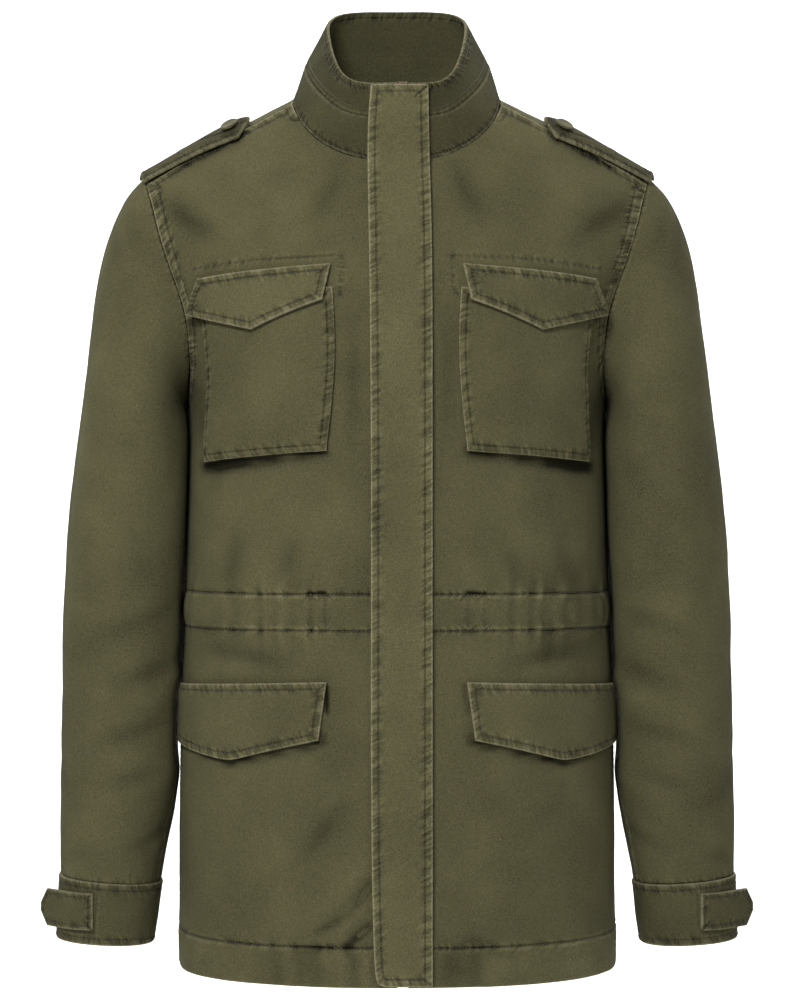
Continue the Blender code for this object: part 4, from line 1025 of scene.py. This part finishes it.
def front_details(panel, hand):
    """Sewing lines, the cord's slits and the end of the pocket's mouth, darkened inside with painted shade, and
    the hollows below pockets, flaps and epaulettes, darkened with painted shadow.
    """
    off, along = beside_path(panel, hand, CHEST_SEWING)
    panel.sewn(off, along, 0.0, 0.6)
    panel.lift(-0.35 * bump(off, 0, 1.3) + 0.25 * bump(off, 2.6, 1.6))
    panel.age_and_shade(-0.5 * bump(off, 0, 0.9) + 0.14 * bump(off, 2.2, 1.4))
    for path in CORD_SEWING:
        off, along = beside_path(panel, hand, path)
        panel.sewn(off, along, 0.0, 0.55)
    off, _ = beside_path(panel, hand, CORD_SLIT)
    panel.lift(-0.9 * bump(off, 0, 1.2) + 0.7 * bump(off, 3.4, 1.9) * (panel.z > -421))
    # Painted shade inside the slit.
    panel.age_and_shade(-1.1 * bump(off, 0, 1.3))
    off, _ = beside_path(panel, hand, POCKET_MOUTH_END)
    panel.lift(-1.0 * bump(off, 0, 1.3))
    # Painted shade inside the end of the pocket's mouth.
    panel.age_and_shade(-1.4 * bump(off, 0, 1.5))
    # The depth here is how dark the painted shadow below each path is; the hollow itself is the lift.
    for path, depth, width in (
        (UNDER_CHEST_POCKET, -1.6, 5.6),
        (UNDER_CHEST_FLAP, -1.2, 3.6),
        (UNDER_HIP_FLAP, -1.3, 3.6),
        (UNDER_EPAULETTE, -1.5, 3.0),
    ):
        off, along = beside_path(panel, hand, path)
        uneven = 0.55 + 0.3 * line_noise(along, 14, 71) + 0.5 * along / 110
        panel.lift(-1.1 * bump(off, 0, width * 1.3) * uneven)
        panel.age_and_shade(depth * bump(off, 0, width) * uneven)


def body_panel(node, seed, folds, others):
    panel = Panel(node, away_from_body, 3, WAIST_LINES, 6.5, 1)
    panel.meet(*others)
    softness(panel, 0.55, seed)
    creased = fold_relief(folds, panel.x, panel.z)
    panel.lift(creased)
    # Painted shade darkens the fold troughs; the ridges are paler where the cloth rubs.
    panel.age_and_shade(0.27 * np.minimum(creased, 0) + 0.1 * np.maximum(creased, 0))
    casing_relief(panel, seed + 10)
    hem_relief(panel, seed + 20)
    for kind, test in (("armhole", at_armhole), ("shoulder", at_shoulder), ("side", at_side)):
        for run in runs_of(panel, test):
            line = Line(panel.base[run])
            off, along = line.near(panel.base, 24)
            if kind == "armhole":
                panel.lift(0.5 * (1 - smooth(off, WELT - 1, WELT + 0.8)) - 0.5 * bump(off, WELT, 0.9))
                panel.lift(puckered(off, along, 0.4, WELT, 0.36, seed + 31))
                panel.lift(puckered(off, along, WELT, WELT + 6, 0.18, seed + 34))
                panel.age_and_shade(0.4 * bump(off, 0.6, 1.5) - 0.2 * bump(off, WELT, 0.9))
                panel.age_and_shade(0.3 * bump(off, WELT - 2.0, 1.3))
                panel.sewn(off, along, WELT, 1.35)
            else:
                reach = SEAM_STITCH
                panel.lift(0.35 * (1 - smooth(off, reach - 1, reach + 0.8)) - 0.4 * bump(off, reach, 0.9))
                panel.lift(puckered(off, along, 0.2, reach, 0.26, seed + 41))
                panel.age_and_shade(0.4 * bump(off, 0.5, 1.3) - 0.2 * bump(off, reach, 0.9))
                panel.sewn(off, along, reach, 0.9)
    rim, _ = panel.edge(6)
    panel.lift(-0.35 * np.clip(1 - rim / 1.2, 0, 1) ** 2)
    sleeves = [other for other in others if other.startswith("sleeve")]
    # Painted shade where the sleeve leans on the body.
    panel.age_and_shade(-0.9 * crowded(panel, sleeves))
    if node != "back":
        front_details(panel, -1 if node == "front_right" else 1)
    panel.shape()
    surface = Surface(panel)
    if node != "back":
        hand = -1 if node == "front_right" else 1
        for places in FRONT_SEWING:
            path = [(x * hand, z) for x, z in places]
            THREADS.run(*surface.from_front(path), width=THREAD * 0.9)
    for test, away in ((at_armhole, WELT), (at_shoulder, SEAM_STITCH), (at_side, SEAM_STITCH)):
        for run in runs_of(panel, test):
            path = offset_run(panel, run, away)
            places, normals = surface.drop(path)
            THREADS.run(places, normals)
    low, high = panel.x.min() + 1, panel.x.max() - 1
    for height in (CASING_TOP, CASING_BOTTOM, HEM_STITCH):
        THREADS.run(*level_path(panel, surface, height, low, high, 300))
    return panel


def sharpest(ring):
    """The place in a closed ring of points where it turns the most."""
    ahead = np.roll(ring, -3, axis=0) - ring
    behind = ring - np.roll(ring, 3, axis=0)
    ahead /= np.linalg.norm(ahead, axis=1, keepdims=True) + 1e-9
    behind /= np.linalg.norm(behind, axis=1, keepdims=True) + 1e-9
    return int(np.argmin((ahead * behind).sum(axis=1)))


def runs_of(panel, keep, least=12):
    """Every run of boundary points that passes a test."""
    result = []
    for ids in panel.loops:
        good = keep(panel.base[ids])
        if good.all():
            first = sharpest(panel.base[ids])
            result.append(list(ids[first:]) + list(ids[: first + 1]))
            continue
        if not good.any():
            continue
        count = len(ids)
        start = next(i for i in range(count) if not good[i])
        run = []
        for step in range(count + 1):
            i = (start + step) % count
            if good[i] and step < count:
                run.append(ids[i])
            else:
                if len(run) >= least:
                    result.append(run)
                run = []
    return result


PIECES = {}


def keep_piece(piece, node):
    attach(piece, "root")
    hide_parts(node)
    PIECES[node] = piece
    return piece


# The body.
for side, hand in HANDS:
    node = f"front_{side}"
    panel = body_panel(node, 100 + hand, FRONT_FOLDS, ("back", f"sleeve_{side}"))
    piece = lined_piece(panel, f"cloth_{node}", 2.0, BODY_TWILL)
    keep_piece(piece, node)
sewn_to_back = ("front_right", "front_left", "sleeve_right", "sleeve_left")
panel = body_panel("back", 140, BACK_FOLDS, sewn_to_back)
piece = lined_piece(panel, "cloth_back", 2.0, BODY_TWILL)
keep_piece(piece, "back")

# The sleeves.
SleeveFold = namedtuple("SleeveFold", "turn z to_turn to_z width depth")
SLEEVE_FOLDS = (
    SleeveFold(2.5, -436, 1.5, -458, 8, -0.7),
    SleeveFold(2.7, -478, 1.7, -500, 8, -0.9),
    SleeveFold(2.6, -530, 1.4, -548, 8, -0.8),
    SleeveFold(2.5, -574, 1.5, -584, 7, -0.6),
    SleeveFold(2.6, -505, 2.0, -516, 7, 0.6),
    SleeveFold(0.6, -96, 1.2, -150, 9, -0.7),
    SleeveFold(1.0, -92, 1.6, -140, 8, -0.5),
    SleeveFold(0.2, -560, 1.0, -600, 10, -0.5),
    SleeveFold(2.9, -620, 2.0, -640, 7, -0.6),
    SleeveFold(1.3, -640, 0.5, -655, 7, -0.5),
    SleeveFold(-2.4, -470, -1.4, -452, 9, -0.8),
    SleeveFold(-2.6, -520, -1.6, -500, 9, -0.8),
    SleeveFold(-0.7, -100, -1.3, -160, 9, -0.7),
    SleeveFold(-2.6, -600, -1.8, -590, 8, -0.6),
)


def sleeve_turn(points):
    """The angle round the sleeve: 0 outside, pi/2 in front, pi beside the body, below zero behind."""
    away = away_from_sleeve(points)
    return np.arctan2(-away[:, 1], away[:, 0] * np.sign(points[:, 0]))


def seam_down(panel, turn):
    """A line down the sleeve at an angle."""
    at = sleeve_turn(panel.base)
    gap = np.abs((at - turn + math.pi) % (2 * math.pi) - math.pi)
    heights = np.linspace(panel.z.min() + 2, -300, 120)
    points = []
    for z in heights:
        weight = np.exp(-((panel.z - z) / 4.0) ** 2 - (gap / 0.06) ** 2)
        if weight.sum() > 1e-6:
            points.append((panel.base * weight[:, None]).sum(axis=0) / weight.sum())
    return Line(np.array(points))


for side, hand in HANDS:
    node = f"sleeve_{side}"
    panel = Panel(node, away_from_sleeve, 3, (), 6.0, 1)
    panel.meet(f"front_{side}", "back")
    softness(panel, 0.5, 200 + hand)
    turn = sleeve_turn(panel.base)
    for fold in SLEEVE_FOLDS:
        dx, dz = (fold.to_turn - fold.turn) * 48, fold.to_z - fold.z
        x, z = (turn - fold.turn) * 48, panel.z - fold.z
        along = np.clip((x * dx + z * dz) / (dx * dx + dz * dz), 0, 1)
        off = np.hypot(x - along * dx, z - along * dz)
        deep = 2.6 * fold.depth * beside_arm(panel)
        crease = deep * np.exp(-((off / fold.width) ** 2)) * (0.4 + 0.6 * np.sin(math.pi * along))
        panel.lift(crease)
        # Painted shade darkens the fold troughs; the ridges are paler where the cloth rubs.
        panel.age_and_shade(0.17 * crease)
    seam = seam_down(panel, 2.75)
    off, along = seam.near(panel.base, 16)
    panel.lift(-0.5 * bump(off, 0, 0.9) + puckered(off, along, 0, 6.5, 0.24, 231))
    panel.age_and_shade(0.7 * bump(off, 1.2, 1.6))
    panel.sewn(off, along, 0.0, 0.6)
    for run in runs_of(panel, lambda p: p[:, 2] > -290):
        off, along = Line(panel.base[run]).near(panel.base, 20)
        panel.lift(-0.5 * np.clip(1 - off / 1.6, 0, 1) ** 2 + 0.35 * bump(off, 4.5, 4.0))
        panel.lift(puckered(off, along, 0.2, 7.0, 0.30, 241))
        # Paler beside the armhole seam where rubbed; painted shadow along the seam's ditch at the edge.
        panel.age_and_shade(0.25 * bump(off, 2.4, 1.6) - 1.1 * bump(off, 0.2, 1.1))
        panel.sewn(off, along, 0.0, 0.7)
    for run in runs_of(panel, lambda p: p[:, 2] < -600):
        off, along = Line(panel.base[run]).near(panel.base, 20)
        panel.lift(puckered(off, along, 0.0, 7.0, 0.34, 251) - 0.4 * bump(off, 0, 1.0))
        panel.sewn(off, along, 0.0, 0.8)
    # Painted shade: the sleeve's outer side darker.
    panel.age_and_shade(-0.3 * smooth(np.cos(turn), 0.7, 1.0))
    # Painted shade where the sleeve leans on the body.
    panel.age_and_shade(-0.9 * crowded(panel, (f"front_{side}", "back")))
    inmost = smooth(-np.cos(turn), 0.55, 0.95)
    panel.lift(inmost * (3.3 * bump(panel.z, -495, 10) + 2.3 * bump(panel.z, -577, 15)))
    panel.shape()
    piece = lined_piece(panel, f"cloth_{node}", 2.0, SLEEVE_TWILL)
    keep_piece(piece, node)


def everywhere(points):
    return np.ones(len(points), bool)


def topstitch(panel, away):
    """Stitches along every edge of a shaped panel, at a distance from it; gives back its surface."""
    surface = Surface(panel)
    for run in runs_of(panel, everywhere):
        THREADS.run(*surface.drop(offset_run(panel, run, away)))
    return surface


def banded(panel, seed, at, ruckle=0.26, keep=None, fold=0.6, reach=22, inside=True):
    """Topstitching all along a panel's edges, or the part of them that passes a test."""
    for run in runs_of(panel, keep or everywhere):
        off, along = Line(panel.base[run]).near(panel.base, reach)
        stitched_edge(panel, off, along, at, seed, ruckle=ruckle, fold=fold, inside=inside)


# The cuffs and their tabs.
for side, hand in HANDS:
    node = f"cuff_{side}"
    panel = Panel(node, away_from_sleeve, 3)
    softness(panel, 0.4, 300 + hand)
    banded(panel, 310 + hand, 5.4)
    turn = sleeve_turn(panel.base)
    for at in (1.46, 1.28):
        strip = np.abs(turn - at) * 42
        panel.lift(-0.35 * bump(strip, 0, 0.9))
        panel.age_and_shade(0.3 * bump(strip, 1.4, 1.2) - 0.3 * bump(strip, 0, 0.9))
    panel.shape()
    piece = cloth_piece(panel, f"cloth_{node}", 2.2, DARK_TWILL)
    keep_piece(piece, node)
    topstitch(panel, 5.4)

    node = f"cuff_tab_{side}"
    panel = Panel(node, away_from_sleeve, 4)
    banded(panel, 330 + hand, 3.6, ruckle=0.16, reach=12)
    panel.shape()
    piece = cloth_piece(panel, f"cloth_{node}", 2.2, DARK_TWILL)
    keep_piece(piece, node)
    topstitch(panel, 3.6)

# The collar.
for node, seed, flat in (("collar_band", 400, (0.50, 0.045)), ("collar_stand", 420, (0.46, 0.045))):
    panel = Panel(node, away_from_neck, 3)
    other = "collar_stand" if node == "collar_band" else "collar_band"
    panel.meet(other)
    softness(panel, 0.45, seed)
    seam_off, seam_along = SEAMS[other].near(panel.base, 12)
    free = lambda p: SEAMS[other].near(p, 4)[0] > 1.0
    banded(panel, seed + 3, 5.4 if node == "collar_stand" else 2.4, keep=free)
    panel.lift(-0.45 * bump(seam_off, 0, 1.1) + puckered(seam_off, seam_along, 0.2, 6.0, 0.3, seed + 7))
    panel.age_and_shade(0.5 * bump(seam_off, 1.6, 1.5) - 0.4 * bump(seam_off, 0, 0.8))
    panel.sewn(seam_off, seam_along, 0.0, 0.75, inside=False)
    # Painted shade: the collar darker all over, the stand more than the band.
    panel.age_and_shade(-0.5 if node == "collar_stand" else -0.3)
    panel.shape()
    piece = cloth_piece(panel, f"cloth_{node}", 2.2, COLLAR_TWILL, through=0.12)
    keep_piece(piece, node)
    topstitch(panel, 5.4 if node == "collar_stand" else 2.4)

# The placket.
panel = Panel("placket", to_front, 3)
softness(panel, 0.4, 500)
banded(panel, 505, 6.2, ruckle=0.30)
for height in (-662, -724, -560, -470):
    panel.lift(
        -0.5 * bump(panel.z + 0.10 * panel.x, height, 3.2)
        * smooth(panel.x, -24, 0)
        * smooth(-panel.x, -30, -8)
    )
panel.shape()
piece = cloth_piece(panel, "cloth_placket", 2.4, PLACKET_TWILL)
keep_piece(piece, "placket")
topstitch(panel, 6.2)

# The pockets and their flaps.
for side, hand in HANDS:
    node = f"chest_pocket_{side}"
    panel = Panel(node, to_front, 3)
    softness(panel, 0.55, 600 + hand)
    banded(panel, 610 + hand, 6.0, ruckle=0.24)
    panel.shape()
    piece = cloth_piece(panel, f"cloth_{node}", 1.3, BODY_TWILL)
    keep_piece(piece, node)
    for kind, flat, area in (("chest_flap", (0.122, 0.053), 0.0052), ("hip_flap", (0.19, 0.067), 0.0102)):
        node = f"{kind}_{side}"
        panel = Panel(node, to_front, 3)
        softness(panel, 0.5, 630 + hand)
        banded(panel, 640 + hand, 5.6)
        if kind == "chest_flap":
            below = -151.5 - (np.abs(panel.x) - 54) * 0.083 - panel.z
            panel.lift(0.75 * (1 - smooth(below, 4.6, 6.0)) - 0.4 * bump(below, 1.8, 0.7))
        panel.shape()
        piece = cloth_piece(panel, f"cloth_{node}", 2.0, TRIM_TWILL)
        keep_piece(piece, node)
        topstitch(panel, 5.6)

# The epaulettes.
for side, hand in HANDS:
    node = f"epaulette_{side}"
    panel = Panel(node, to_top, 3)
    banded(panel, 700 + hand, 4.6, ruckle=0.2)
    # Painted shade: the whole strap drawn darker.
    panel.age_and_shade(-0.3)
    for places in (BUTTONHOLE, STRAP_TACK):
        path = np.array(densely([(x * hand, z) for x, z in places], 0.5))
        line = Line(np.stack([path[:, 0], np.zeros(len(path)), path[:, 1]], axis=1))
        off, _ = line.near(panel.base * np.array([1.0, 0.0, 1.0]), 8)
        panel.age_and_shade(-1.5 * bump(off, 0, 0.9) + 0.35 * bump(off, 2.0, 0.9))
        panel.lift(0.3 * bump(off, 1.9, 0.9) - 0.4 * bump(off, 0, 0.8))
    panel.shape()
    piece = cloth_piece(panel, f"cloth_{node}", 2.3, DARK_TWILL)
    keep_piece(piece, node)
    surface = topstitch(panel, 4.6)
    for places, pitch in ((BUTTONHOLE, 1.0), (STRAP_TACK, 0.9)):
        path = [(x * hand, z) for x, z in places]
        THREADS.run(*surface.from_front(path, 0.6), pitch=pitch, width=THREAD * 1.7)

stitches = THREADS.build("stitches", THREAD_OLIVE)
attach(stitches, "root")

# What stays as the solids have it.
for node, material in (
    ("zip_tape_right", TAPE),
    ("zip_tape_left", TAPE),
    ("zip_slider", BRASS),
    ("zip_pull", BRASS),
    ("epaulette_button_right", PLASTIC),
    ("epaulette_button_left", PLASTIC),
):
    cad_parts[node].data.materials.clear()
    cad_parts[node].data.materials.append(material)

# Floor, light and camera.
FLOOR = -1.45


def build_stage():
    shade = Shade("paper")
    place = shade.node("TexCoord", out=3)
    grain = shade.noise(place, 30.0)
    base = shade.ramp(grain, ((0.0, (0.86, 0.86, 0.86)), (1.0, (0.90, 0.90, 0.90))))
    shade.put(shade.shader, {"Base Color": base})
    paper = shade.finish(Roughness=0.95)
    profile = [(-4.0, FLOOR)] + [(1.2, FLOOR)]
    for i in range(1, 13):
        turn = math.pi / 2 * i / 12
        profile.append((1.2 + 1.4 * math.sin(turn), FLOOR + 1.4 * (1 - math.cos(turn))))
    profile.append((2.6, 4.0))
    points = [(x, y, z) for y, z in profile for x in (-6.0, 6.0)]
    faces = [[2 * i, 2 * i + 1, 2 * i + 3, 2 * i + 2] for i in range(len(profile) - 1)]
    floor = new_object("floor", np.array(points) / MM, faces, paper)


def add_light(name, place, target, size, power):
    light = bpy.data.lights.new(name, "AREA")
    light.shape = "RECTANGLE"
    light.size, light.size_y = size
    light.energy = power
    obj = bpy.data.objects.new(name, light)
    obj.location = place
    towards = Vector(target) - Vector(place)
    obj.rotation_euler = towards.to_track_quat("-Z", "Y").to_euler()
    bpy.context.scene.collection.objects.link(obj)


build_stage()
MIDDLE = (0.0, 0.0, -0.35)
add_light("key", (-0.7, -2.3, 1.3), MIDDLE, (0.9, 0.7), 60)
add_light("fill_right", (-2.2, -1.3, 0.3), MIDDLE, (0.9, 2.0), 2.5)
add_light("fill_left", (2.2, -1.3, 0.3), MIDDLE, (0.9, 2.0), 2.5)
add_light("top", (0.0, -0.5, 2.3), MIDDLE, (1.6, 1.0), 4)
add_light("back_wall", (0.0, 0.9, 1.6), (0.0, 2.6, -0.5), (5.0, 1.2), 165)
world = bpy.data.worlds.new("studio")
world.use_nodes = True
world.node_tree.nodes["Background"].inputs["Color"].default_value = (1, 1, 1, 1)
world.node_tree.nodes["Background"].inputs["Strength"].default_value = 0.24
bpy.context.scene.world = world
bpy.context.scene.view_settings.view_transform = "Standard"

# The photograph's own view: level, from 2.3 m in front of the middle of the jacket's height.
CAMERA_BACK = 2.3
VIEW_HEIGHT_AT_JACKET = 0.8624
lens = bpy.data.cameras.new("camera")
lens.sensor_fit = "VERTICAL"
lens.angle = 2 * math.atan(VIEW_HEIGHT_AT_JACKET / 2 / CAMERA_BACK)
camera = bpy.data.objects.new("camera", lens)
camera.location = (0.0026, -CAMERA_BACK, -0.345)
camera.rotation_euler = (math.radians(90), 0, 0)
bpy.context.scene.collection.objects.link(camera)
bpy.context.scene.camera = camera
